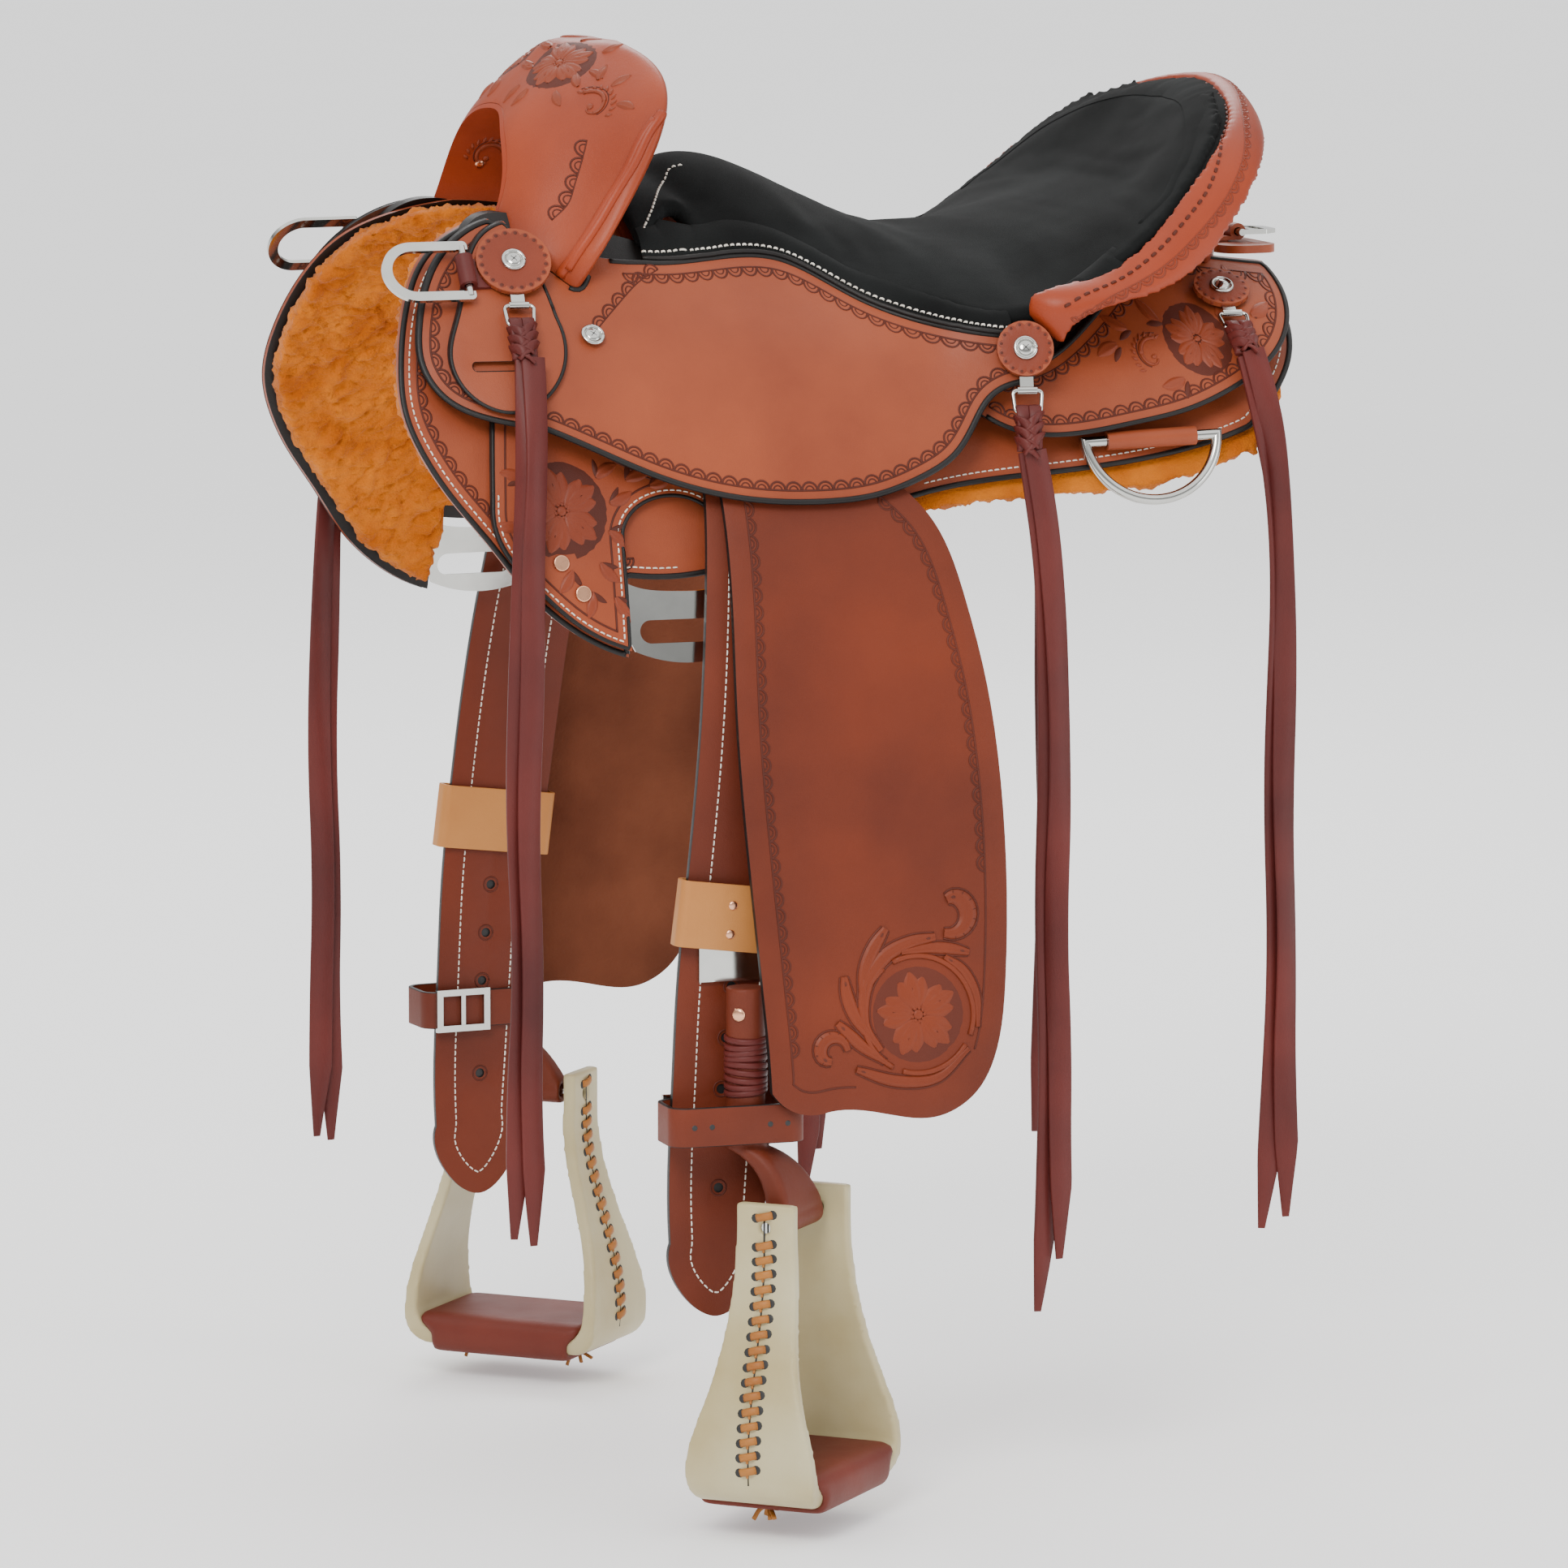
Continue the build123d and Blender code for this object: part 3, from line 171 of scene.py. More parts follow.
CHESTNUT = leather("chestnut_leather", (0.30, 0.064, 0.023), (0.20, 0.038, 0.014))
SWELL_TAN = leather("swell_leather", (0.31, 0.050, 0.015), (0.20, 0.028, 0.009), coat=0.06)
ROLL_TAN = leather("roll_leather", (0.31, 0.044, 0.012), (0.20, 0.026, 0.008), coat=0.06)
FENDER_TAN = leather("fender_leather", (0.150, 0.024, 0.007), (0.090, 0.014, 0.005), (0.4, 0.58))
STRAP_TAN = leather("strap_leather", (0.145, 0.024, 0.008), (0.090, 0.015, 0.006), (0.42, 0.6))
# Dark leather for tool lines, stamps, cuts, outlines and hole rims: painted shade of the grooves and dents; also the
# real dark lace of the cantle roll.
TOOL_SHADE_AND_ROLL_LACE = leather("tooled_shadow", (0.100, 0.018, 0.008), (0.055, 0.010, 0.005), (0.45, 0.65))
FENDER_RELIEF = leather("fender_relief", (0.180, 0.030, 0.009), (0.110, 0.018, 0.006), (0.36, 0.52))
RELIEF = leather("tooled_relief", (0.250, 0.048, 0.018), (0.160, 0.028, 0.011), (0.34, 0.5))
DARK_TAN = leather("dark_tan_leather", (0.21, 0.036, 0.014), (0.13, 0.020, 0.008))
EDGE = leather("black_edge", (0.016, 0.014, 0.013), (0.008, 0.007, 0.007), (0.3, 0.5))
BURGUNDY = leather("burgundy_latigo", (0.120, 0.019, 0.015), (0.060, 0.010, 0.009), (0.36, 0.52))
NATURAL = leather("natural_leather", (0.50, 0.215, 0.058), (0.38, 0.145, 0.036), (0.4, 0.55))
RAWHIDE = leather("rawhide", (0.54, 0.49, 0.31), (0.37, 0.29, 0.13), (0.3, 0.46), 0.12, coat=0.15)
TREAD = leather("tread_leather", (0.150, 0.026, 0.015), (0.090, 0.015, 0.009), (0.42, 0.6))
THONG = leather("lace_thong", (0.42, 0.17, 0.035), (0.27, 0.09, 0.02), (0.4, 0.55))
FLESH = napped("flesh_side", (0.095, 0.028, 0.014), (0.165, 0.052, 0.026), 0.1, 420.0, 11.0, 0.0008)
SUEDE = napped("black_suede", (0.0035, 0.0037, 0.0037), (0.012, 0.013, 0.013), 0.04, 1500.0, 10.0)
WOOL = napped("golden_fleece", (0.38, 0.085, 0.004), (0.58, 0.165, 0.010), 0.12, 520.0, 30.0, 0.003)
THREAD = napped("white_thread", (0.62, 0.58, 0.50), (0.80, 0.76, 0.68), 0.1, 1800.0, 60.0, 0.0002)
WOOD = leather("tree_wood", (0.50, 0.36, 0.22), (0.34, 0.23, 0.13), (0.4, 0.6))
STEEL = metal("stainless_steel", (0.56, 0.56, 0.53), (0.08, 0.17))
COPPER = metal("copper_rivet", (0.80, 0.42, 0.26))
# Near-black metal for screw recesses, strap and lace holes and the stirrup seams: painted shade.
RECESS_SHADE = metal("screw_recess", (0.06, 0.06, 0.06), (0.5, 0.7))


# ---- mesh tools ----------------------------------------------------------------------------------
class Gather:
    """Collects many small shapes into one mesh."""

    def __init__(self):
        self.verts, self.faces = [], []

    def add(self, verts, faces):
        base = len(self.verts)
        self.verts += [tuple(v) for v in verts]
        self.faces += [tuple(base + i for i in f) for f in faces]

    def piece(self, name, material, body, slot):
        mesh = bpy.data.meshes.new(name)
        mesh.from_pydata(self.verts, [], self.faces)
        mesh.validate()
        mesh.materials.append(material)
        mesh.shade_smooth()
        return placed(name, mesh, body)


def linked(name, data):
    """New object in the scene."""
    made = bpy.data.objects.new(name, data)
    bpy.context.scene.collection.objects.link(made)
    return made


def placed(name, mesh, body):
    """Object that rides on a body of the part."""
    made = linked(name, mesh)
    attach(made, body)
    return made


def grid_faces(rows, columns, round_rows=False):
    """Quads between the rows of a vertex grid; round_rows joins each row's ends."""
    faces = []
    for i in range(rows - 1):
        for j in range(columns if round_rows else columns - 1):
            k = (j + 1) % columns
            faces.append((i * columns + j, i * columns + k, (i + 1) * columns + k, (i + 1) * columns + j))
    return faces


def capped(rows, columns):
    """Faces of a closed tube whose two ends are single polygons."""
    last = (rows - 1) * columns
    return grid_faces(rows, columns, True) + [tuple(reversed(range(columns))), tuple(range(last, last + columns))]


def ridge(gather, spots, radius, squash=0.7, sides=6, taper=False):
    """Rounded bead along points that are (place, normal) pairs."""
    verts = []
    count = len(spots)
    for i, (place, normal) in enumerate(spots):
        ahead = spots[min(i + 1, count - 1)][0] - spots[max(i - 1, 0)][0]
        across = ahead.cross(normal)
        if across.length < 1e-9:
            return
        across.normalize()
        size = radius
        if taper:
            size = radius * (0.25 + 0.75 * math.sin(math.pi * (i + 0.5) / count))
        for j in range(sides):
            turn = 2 * math.pi * j / sides
            verts.append(place + across * size * math.cos(turn) + normal * size * squash * math.sin(turn))
    gather.add(verts, capped(count, sides))


def stitch(gather, a, b, normal, radius):
    """One stitch of thread: a plump capsule that dips into the leather at both ends."""
    spots = []
    for t, lift in ((0.0, -0.5), (0.18, 0.35), (0.5, 0.75), (0.82, 0.35), (1.0, -0.5)):
        spots.append((a.lerp(b, t) + normal * radius * lift, normal))
    ridge(gather, spots, radius, 0.8, 5)


def sewn(gather, spots, end, radius, start=0.0):
    """Row of stitches: each fills the share start to end of the step between two spots."""
    for (a, normal), (b, _) in zip(spots, spots[1:]):
        stitch(gather, a.lerp(b, start), a.lerp(b, end), normal, radius)


def strip(gather, rows):
    """Surface between rows of points."""
    gather.add([p for row in rows for p in row], grid_faces(len(rows), len(rows[0])))


def around(centre, across, up, radius, count):
    """Points on a circle in space."""
    turns = [2 * math.pi * j / (count - 1) for j in range(count)]
    return [centre + (across * math.cos(t) + up * math.sin(t)) * radius for t in turns]


def arc(x, z, radius, start, end, count):
    """Points on a circle in side view."""
    return [(x + radius * math.cos(t), z + radius * math.sin(t)) for t in np.linspace(start, end, count)]


def ball(gather, centre, axis, radius, high, rings=4, columns=12):
    """Domed head standing on a surface."""
    turn = Vector(axis).to_track_quat("Z", "Y")
    verts = []
    for i in range(rings):
        angle = math.pi / 2 * i / rings
        for j in range(columns):
            phi = 2 * math.pi * j / columns
            flat = radius * math.cos(angle)
            verts.append(centre + turn @ Vector((flat * math.cos(phi), flat * math.sin(phi),
                                                 high * math.sin(angle))))
    last = (rings - 1) * columns
    gather.add(verts, grid_faces(rings, columns, True) + [tuple(range(last, last + columns))])


def walk(points, step, closed=False):
    """The same path with evenly spaced points."""
    pts = np.array(points, float)
    if closed:
        pts = np.vstack([pts, pts[:1]])
    along = np.concatenate([[0], np.cumsum(np.linalg.norm(np.diff(pts, axis=0), axis=1))])
    if along[-1] < step:
        return pts
    count = max(2, int(round(along[-1] / step)) + 1)
    at = np.linspace(0, along[-1], count)
    if closed:
        at = at[:-1]
    return np.stack([np.interp(at, along, pts[:, k]) for k in range(pts.shape[1])], 1)


def curve_through(points, step):
    """Smooth path through a few given points."""
    pts = np.array(points, float)
    ends = np.vstack([2 * pts[0] - pts[1], pts, 2 * pts[-1] - pts[-2]])
    out = []
    for a, b, c, d in zip(ends, ends[1:], ends[2:], ends[3:]):
        for t in np.linspace(0, 1, 12, endpoint=False):
            out.append(0.5 * (2 * b + (c - a) * t + (2 * a - 5 * b + 4 * c - d) * t * t
                              + (3 * b - a - 3 * c + d) * t ** 3))
    return walk(np.vstack([out, pts[-1:]]), step)


# ---- faces of the CAD nodes -----------------------------------------------------------------------
FACE_BREAK = math.radians(38)


def welded(name):
    """Editable copy of a node's mesh without doubled vertices."""
    made = bmesh.new()
    made.from_mesh(NODES[name].data)
    bmesh.ops.remove_doubles(made, verts=made.verts, dist=2e-6)
    made.faces.ensure_lookup_table()
    made.normal_update()
    return made


def regions(bm):
    """Groups of faces that meet without a sharp edge, largest first."""
    seen, groups = set(), []
    for start in bm.faces:
        if start.index in seen:
            continue
        seen.add(start.index)
        stack, group = [start], []
        while stack:
            face = stack.pop()
            group.append(face)
            for edge in face.edges:
                for other in edge.link_faces:
                    if other.index not in seen and face.normal.angle(other.normal, 3.0) < FACE_BREAK:
                        seen.add(other.index)
                        stack.append(other)
        groups.append(group)
    return sorted(groups, key=lambda g: -sum(f.calc_area() for f in g))


SKINS = {}


def tree_of(mesh):
    """Search tree over a mesh's faces."""
    return BVHTree.FromPolygons([v.co for v in mesh.vertices], [p.vertices for p in mesh.polygons])


def snap(tree, point):
    """Place and normal of the surface nearest to a point in millimetres."""
    place, normal, _, _ = tree.find_nearest(Vector(point) * MM)
    return place, normal


class Panel:
    """A leather panel's visible face: x and z in millimetres, in side view or about an aimed place."""

    def __init__(self, name, side, inside=False, aim=None):
        self.side, self.inside, self.name, self.aim = side, inside, name, None
        self.tree = tree_of(SKINS.get(name) or NODES[name].data)
        if aim:
            centre, normal, up = (Vector((v[0], v[1] * side, v[2])) for v in aim)
            normal.normalize()
            up = (up - normal * up.dot(normal)).normalized()
            self.aim = centre * MM, normal, up, up.cross(normal) * side

    def at(self, x, z, lift=0.0):
        """Place on the face, raised by lift, and the face's normal there."""
        if self.aim:
            centre, facing, up, across = self.aim
            aimed = centre + across * x * MM + up * z * MM
            hit, normal, _, _ = self.tree.ray_cast(aimed + facing * 0.03, -facing, 0.08)
            if hit is None:
                hit, normal, _, _ = self.tree.find_nearest(aimed)
            if normal.dot(facing) < 0:
                normal = -normal
            return hit + normal * lift, normal
        look = -self.side if not self.inside else self.side
        start = Vector((x * MM, self.side * (0.02 if self.inside else 0.6), z * MM))
        hit, normal, _, _ = self.tree.ray_cast(start, Vector((0, look, 0)))
        if hit is None:
            guess = Vector((x * MM, self.side * 0.22, z * MM))
            hit, normal, _, _ = self.tree.find_nearest(guess)
        if normal.y * look > 0:
            normal = -normal
        return hit + normal * lift, normal

    def run(self, points, lift=0.0):
        return [self.at(x, z, lift) for x, z in points]

    def outline(self):
        """Boundary of the visible face, as an evenly spaced closed path of x and z."""
        bm = welded(self.name)
        look = Vector((0, -self.side if self.inside else self.side, 0))
        best, best_area = None, 0.0
        for group in regions(bm)[:8]:
            middle = sum((f.calc_center_median().y * self.side for f in group)) / len(group)
            facing = sum(f.normal.dot(look) * f.calc_area() for f in group)
            if middle > 0 and facing > best_area:
                best, best_area = group, facing
        links, inner = {}, set(best)
        for face in best:
            for edge in face.edges:
                if any(f not in inner for f in edge.link_faces) or len(edge.link_faces) == 1:
                    a, b = edge.verts
                    links.setdefault(a.index, []).append(b.index)
                    links.setdefault(b.index, []).append(a.index)
        places = {v.index: (v.co.x / MM, v.co.z / MM) for v in bm.verts}
        bm.free()
        loops, left = [], set(links)
        while left:
            start = left.pop()
            loop, here, before = [start], start, None
            while True:
                ahead = [n for n in links[here] if n != before and n in left]
                if not ahead:
                    break
                before, here = here, ahead[0]
                left.discard(here)
                loop.append(here)
            loops.append([places[i] for i in loop])
        longest = max(loops, key=lambda l: sum(math.dist(a, b) for a, b in zip(l, l[1:])))
        return walk(longest, 1.5, closed=True)


def inset(loop, distance, keep=None):
    """Runs of the path a distance inside a closed outline, where keep(x, z) holds."""
    loop = np.array(loop)
    area = 0.5 * np.sum(loop[:, 0] * np.roll(loop[:, 1], -1) - np.roll(loop[:, 0], -1) * loop[:, 1])
    ahead = np.roll(loop, -3, 0) - np.roll(loop, 3, 0)
    ahead /= np.maximum(np.linalg.norm(ahead, axis=1)[:, None], 1e-9)
    inward = np.stack([-ahead[:, 1], ahead[:, 0]], 1) * (1 if area > 0 else -1)
    moved = loop + inward * distance
    near = np.array([np.min(np.linalg.norm(loop - p, axis=1)) for p in moved])
    good = near > distance * 0.93
    if keep:
        good &= np.array([bool(keep(x, z)) for x, z in moved])
    if good.all():
        return [smoothed(np.vstack([moved, moved[:1]]))]
    first = int(np.argmin(good))
    moved, good = np.roll(moved, -first, 0), np.roll(good, -first)
    runs, here = [], []
    for point, ok in zip(moved, good):
        if ok and (not here or np.linalg.norm(point - here[-1]) < 9.0):
            here.append(point)
        else:
            if len(here) > 8:
                runs.append(smoothed(np.array(here)))
            here = [point] if ok else []
    if len(here) > 8:
        runs.append(smoothed(np.array(here)))
    return runs


def smoothed(path):
    """Path with its small kinks evened out."""
    path = path.copy()
    for _ in range(4):
        path[1:-1] = (path[:-2] + 2 * path[1:-1] + path[2:]) / 4
    return path


STITCH_PITCH, STITCH_LONG, THREAD_RADIUS = 4.6, 3.3, 0.55 * MM


def stitches(gather, panel, path):
    """Row of thread stitches along a side-view path."""
    sewn(gather, panel.run(walk(path, STITCH_PITCH)), STITCH_LONG / STITCH_PITCH, THREAD_RADIUS)


def lines(gather, panel, path, radius):
    """Low bead along a side-view path."""
    ridge(gather, panel.run(walk(path, 3.0)), radius * MM, 0.6)


SCALLOP_PITCH, SCALLOP_RADIUS, SCALLOP_BEAD = 11.0, 5.3, 0.8


def scallops(gather, panel, path, inner=1):
    """Row of half-round stamps standing on a border line."""
    spots = walk(path, SCALLOP_PITCH)
    for a, b in zip(spots, spots[1:]):
        along = (b - a) / max(np.linalg.norm(b - a), 1e-9)
        across = np.array([-along[1], along[0]]) * inner
        middle = (a + b) / 2
        for size, width in ((SCALLOP_RADIUS, SCALLOP_BEAD), (SCALLOP_RADIUS * 0.55, SCALLOP_BEAD * 0.7)):
            half = [middle + along * size * math.cos(t) + across * size * math.sin(t)
                    for t in np.linspace(0, math.pi, 10)]
            ridge(gather, panel.run(half), width * MM, 0.6, 5)


def inside_of(loop, path):
    """+1 or -1: the side of a path that faces the middle of a closed outline."""
    path = np.array(path)
    k = len(path) // 2
    along = path[min(k + 1, len(path) - 1)] - path[k - 1]
    across = np.array([-along[1], along[0]])
    return 1 if np.dot(np.mean(np.array(loop), 0) - path[k], across) > 0 else -1


def border(panel, tool, loop, edge, rows, keep):
    """Border line, with a row of scallops inside it if rows; both dark with painted groove shade."""
    for path in inset(loop, edge, keep):
        lines(tool, panel, path, 0.75)
        if rows:
            scallops(tool, panel, path, inside_of(loop, path))


def dyed_edge(panel, slot, loop, edge, radius, keep=None):
    """Black bead where the dyed edge turns over onto the face."""
    for path in inset(loop, edge, keep):
        lines(on("saddle", EDGE, slot), panel, path, radius)


# ---- carving ------------------------------------------------------------------------------------
def leaf(gather, panel, root, angle, length, width, bend=0.0, high=1.0, vein=True):
    """Raised leaf or petal with a sunken vein, bent to one side."""
    rows, columns = 9, 7
    verts = []
    for i in range(rows):
        t = i / (rows - 1)
        turn = angle + bend * t
        x = root[0] + length * t * math.cos(angle + bend * t * 0.5)
        z = root[1] + length * t * math.sin(angle + bend * t * 0.5)
        half = width / 2 * (math.sin(math.pi * min(1.0, t * 0.92 + 0.06)) ** 0.7)
        for j in range(columns):
            v = 2 * j / (columns - 1) - 1
            dome = (1 - v * v) ** 0.6 if abs(v) < 1 else 0.0
            if vein and j == columns // 2:
                dome *= 0.55
            lift = (0.05 + 1.6 * high * dome * (0.35 + 0.65 * math.sin(math.pi * min(1, t + 0.1)))) * MM
            place, _ = panel.at(x - math.sin(turn) * v * half, z + math.cos(turn) * v * half, lift)
            verts.append(place)
    gather.add(verts, grid_faces(rows, columns))


PETALS = 5


def flower(relief, tool, panel, x, z, radius, spin):
    """Five ruffled petals round a seed centre, cut into a ground that is darkened with painted shade."""
    ground(tool, panel, x, z, radius * 1.12)
    for k in range(PETALS):
        angle = spin + 2 * math.pi * k / PETALS
        for off, size in ((-0.34, 0.86), (0.34, 0.86), (0.0, 1.0)):
            leaf(relief, panel, (x + radius * 0.14 * math.cos(angle), z + radius * 0.14 * math.sin(angle)),
                 angle + off, radius * 0.84 * size, radius * 0.46, off * 0.5, 1.1)
        # Knife cuts on each petal: dark lines of painted shade.
        for off in (-0.22, 0.0, 0.22):
            a = angle + off
            cut = [(x + r * math.cos(a), z + r * math.sin(a)) for r in (radius * 0.22, radius * 0.4, radius * 0.62)]
            ridge(tool, panel.run(cut, 1.0 * MM), 0.35 * MM, 0.5, 4, True)
    for k in range(9):
        a = 2 * math.pi * k / 9
        place, normal = panel.at(x + radius * 0.15 * math.cos(a), z + radius * 0.15 * math.sin(a), 0.8 * MM)
        ball(relief, place, normal, radius * 0.045 * MM, 0.6 * MM, 3, 6)
    place, normal = panel.at(x, z, 0.7 * MM)
    ball(relief, place, normal, radius * 0.12 * MM, 1.0 * MM, 3, 10)


def ground(gather, panel, x, z, radius):
    """Matted background: a thin dark round patch on the panel, its darkness painted shade of the sunken ground."""
    rings, columns = 7, 28
    verts = []
    for i in range(rings):
        r = radius * (1 - i / (rings - 0.5))
        for j in range(columns):
            phi = 2 * math.pi * j / columns
            verts.append(panel.at(x + r * math.cos(phi), z + r * math.sin(phi), (0.18 if i else -0.05) * MM)[0])
    last = (rings - 1) * columns
    gather.add(verts, grid_faces(rings, columns, True) + [tuple(range(last, last + columns))])


SCROLL_TURN = 4.4


def scroll(relief, tool, panel, x, z, radius, start):
    """Curled leaf: a spiral that thins to its eye, with hatched lobes outside."""
    path, count = [], 26
    for i in range(count):
        t = i / (count - 1)
        r = radius * (1 - 0.78 * t)
        angle = start + SCROLL_TURN * t
        path.append((x + r * math.cos(angle), z + r * math.sin(angle)))
    spots = panel.run(path, 0.3 * MM)
    for k in range(3):
        ridge(relief, spots[k * 8:k * 8 + 11], (1.7 - 0.45 * k) * MM, 0.6, 6)
    place, normal = panel.at(x, z, 0.3 * MM)
    ball(relief, place, normal, radius * 0.16 * MM, 1.0 * MM, 3, 10)
    for i in range(10):
        angle = start + SCROLL_TURN * 0.62 * i / 9
        foot = (x + radius * math.cos(angle) * 1.02, z + radius * math.sin(angle) * 1.02)
        leaf(relief, panel, foot, angle - 0.9, radius * 0.34, radius * 0.17, 0.3, 0.7, False)
    # Dark line round the outer turns: painted shade.
    ridge(tool, panel.run([(x + (px - x) * 1.3, z + (pz - z) * 1.3) for px, pz in path[:18]]), 0.5 * MM, 0.5, 5)


# ---- camera, light and floor ----------------------------------------------------------------------
CAMERA_TURN, CAMERA_RISE, CAMERA_FAR, LENS = math.radians(-21), math.radians(8), 6.5, 218.0
TARGET = Vector((0.028, 0.0, -0.3))
SKY_BANDS = ((0.0, 0.2), (0.42, 0.3), (0.49, 1.0), (0.53, 1.0), (0.60, 0.25), (0.78, 0.9), (0.84, 1.6), (1.0, 1.5))
FLOOR_GLOW, FLOOR_HALF, FLOOR_GAP = 0.32, 55.0, 0.02


def camera():
    """Long lens, from the front of the near side and a little above."""
    level = math.cos(CAMERA_RISE)
    way = Vector((math.sin(CAMERA_TURN) * level, -math.cos(CAMERA_TURN) * level, math.sin(CAMERA_RISE)))
    data = bpy.data.cameras.new("camera")
    data.lens = LENS
    data.clip_end = 90.0
    made = linked("camera", data)
    made.location = TARGET + way * CAMERA_FAR
    made.rotation_euler = way.to_track_quat("Z", "Y").to_euler()
    bpy.context.scene.camera = made


def soft_light(name, place, size, power, colour=(1, 1, 1)):
    """Round area light aimed at the saddle."""
    data = bpy.data.lights.new(name, "AREA")
    data.shape, data.size, data.energy, data.color = "DISK", size, power, colour
    made = linked(name, data)
    made.location = place
    made.rotation_euler = (Vector(place) - TARGET).to_track_quat("Z", "Y").to_euler()


def studio():
    """Banded sky for the metal to mirror, three soft lights and a pale floor."""
    world = bpy.data.worlds.new("studio")
    world.use_nodes = True
    nt = world.node_tree
    sky = nt.nodes["Background"]
    apart = node(nt, "ShaderNodeSeparateXYZ")
    nt.links.new(node(nt, "ShaderNodeTexCoord").outputs["Generated"], apart.inputs[0])
    height = node(nt, "ShaderNodeMapRange", **{"From Min": -1.0, "From Max": 1.0})
    nt.links.new(apart.outputs[2], height.inputs[0])
    nt.links.new(ramp(nt, height.outputs[0], [(at, (grey,) * 3) for at, grey in SKY_BANDS]), sky.inputs[0])
    sky.inputs[1].default_value = 1.15
    bpy.context.scene.world = world
    soft_light("key", (-2.2, -3.0, 2.6), 2.0, 150.0, (1.0, 0.98, 0.95))
    soft_light("fill", (3.2, -3.2, 0.6), 2.6, 45.0, (0.95, 0.97, 1.0))
    soft_light("back", (1.2, 3.2, 2.4), 2.4, 70.0)
    made, nt, shader, place = blank("studio_floor")
    nt.links.new(ramp(nt, grain(nt, place, 2.0), [(0, (0.80,) * 3), (1, (0.84,) * 3)]), shader.inputs["Base Color"])
    shader.inputs["Roughness"].default_value = 0.9
    shader.inputs["Emission Color"].default_value = (1.0, 1.0, 1.0, 1.0)
    shader.inputs["Emission Strength"].default_value = FLOOR_GLOW
    mesh = bpy.data.meshes.new("studio_floor")
    low = CAD_BOX[0][2] - FLOOR_GAP
    corners = [(x * FLOOR_HALF, y * FLOOR_HALF, low) for x, y in ((-1, -1), (1, -1), (1, 1), (-1, 1))]
    mesh.from_pydata(corners, [], [(0, 1, 2, 3)])
    mesh.materials.append(made)
    linked("studio_floor", mesh)


# ---- pieces made from the CAD nodes ---------------------------------------------------------------
def kind_of(name):
    """Node name without its side."""
    return name.replace("near_", "").replace("off_", "")


def stand_in(name, mesh):
    """Shows a mesh in place of a CAD node, on the same body."""
    made = placed(name + "_skin", mesh, BODY_OF[name])
    SKINS[name] = mesh
    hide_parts(name)
    return made


MAIN_FACE = 0.22     # a face region at least this share of the largest is dyed leather, the rest cut edge


def dress(name, face_dye, back_dye, edge_dye, rim, side=None):
    """Leather node with rounded edges; with a side given, the faces turned inward take the back's dye."""
    bm = welded(name)
    groups = regions(bm)
    sizes = [sum(f.calc_area() for f in g) for g in groups]
    for face in bm.faces:
        face.material_index = 2
    for group, size in zip(groups, sizes):
        if size < sizes[0] * MAIN_FACE:
            continue
        inward = side is not None and sum(f.normal.y * f.calc_area() for f in group) * side < 0
        for face in group:
            face.material_index = int(inward)
    cut = [e for e in bm.edges if len(e.link_faces) == 2
           and e.link_faces[0].normal.angle(e.link_faces[1].normal, 0.0) > FACE_BREAK]
    made = bmesh.ops.bevel(bm, geom=cut, offset=rim * MM, segments=2, profile=0.6, affect="EDGES",
                           clamp_overlap=True, material=2)
    for face in made["faces"]:
        face.material_index = 2
    for face in bm.faces:
        face.smooth = True
    mesh = bpy.data.meshes.new(name + "_skin")
    bm.to_mesh(mesh)
    bm.free()
    for material in (face_dye, back_dye, edge_dye):
        mesh.materials.append(material)
    mesh.set_sharp_from_angle(angle=math.radians(50))
    return stand_in(name, mesh)


def remeshed(name, voxel, rounds, loosen=None):
    """Copy of a node with an even mesh and rounded edges."""
    temp = linked("temp", NODES[name].data.copy())
    cut = temp.modifiers.new("even", "REMESH")
    cut.mode, cut.voxel_size = "VOXEL", voxel * MM
    soft = temp.modifiers.new("soft", "SMOOTH")
    soft.factor, soft.iterations = 0.5, rounds
    mesh = bpy.data.meshes.new_from_object(temp.evaluated_get(bpy.context.evaluated_depsgraph_get()))
    bpy.data.objects.remove(temp)
    if loosen:
        loosen(mesh)
    mesh.shade_smooth()
    return mesh


def soft_node(name, material, voxel, rounds, loosen=None):
    """Node shown by its remeshed copy."""
    mesh = remeshed(name, voxel, rounds, loosen)
    mesh.materials.clear()
    mesh.materials.append(material)
    return stand_in(name, mesh)


def shifted(mesh, move):
    """Moves every vertex by move(place, normal)."""
    moves = [move(v.co.copy(), v.normal.copy()) for v in mesh.vertices]
    for vertex, by in zip(mesh.vertices, moves):
        vertex.co += by


def swollen(by):
    """Moves a whole mesh outward by some millimetres."""
    return lambda mesh: shifted(mesh, lambda p, n: n * by * MM)


HIDDEN_RIM = -0.118     # the fleece ends above the skirt edge behind the rigging


def woolly(side):
    """Curled tufts on the inner face and the rim of the fleece; none against the skirt."""
    def move(place, normal):
        toward_skirt = normal.y * side
        free = 1.0 - min(1.0, max(0.0, (toward_skirt - 0.1) / 0.4))
        warp = Vector((noise.noise(place * 70), noise.noise(place * 70 + Vector((9, 0, 0))),
                       noise.noise(place * 70 + Vector((0, 9, 0))))) * 0.012
        clumps = abs(noise.noise((place + warp) * 75)) + 0.6 * abs(noise.noise((place + warp) * 190))
        fine = noise.noise(place * 420)
        by = normal * free * (6.2 * clumps + 1.1 * fine - 1.6) * MM
        if -0.16 < place.x < 0.09:
            by.z = max(by.z, (HIDDEN_RIM - place.z) if place.z < HIDDEN_RIM else by.z)
        return by + Vector((noise.noise(place * 160), 0, noise.noise(place * 160 + Vector((4, 4, 4))))) * free * MM
    return lambda mesh: shifted(mesh, move)


PAD_PRESSURE, PAD_FRAMES, PAD_SETTLE, PAD_CAP, PAD_HELD = 3.0, 14, 4, 6.0 * MM, 4.0 * MM


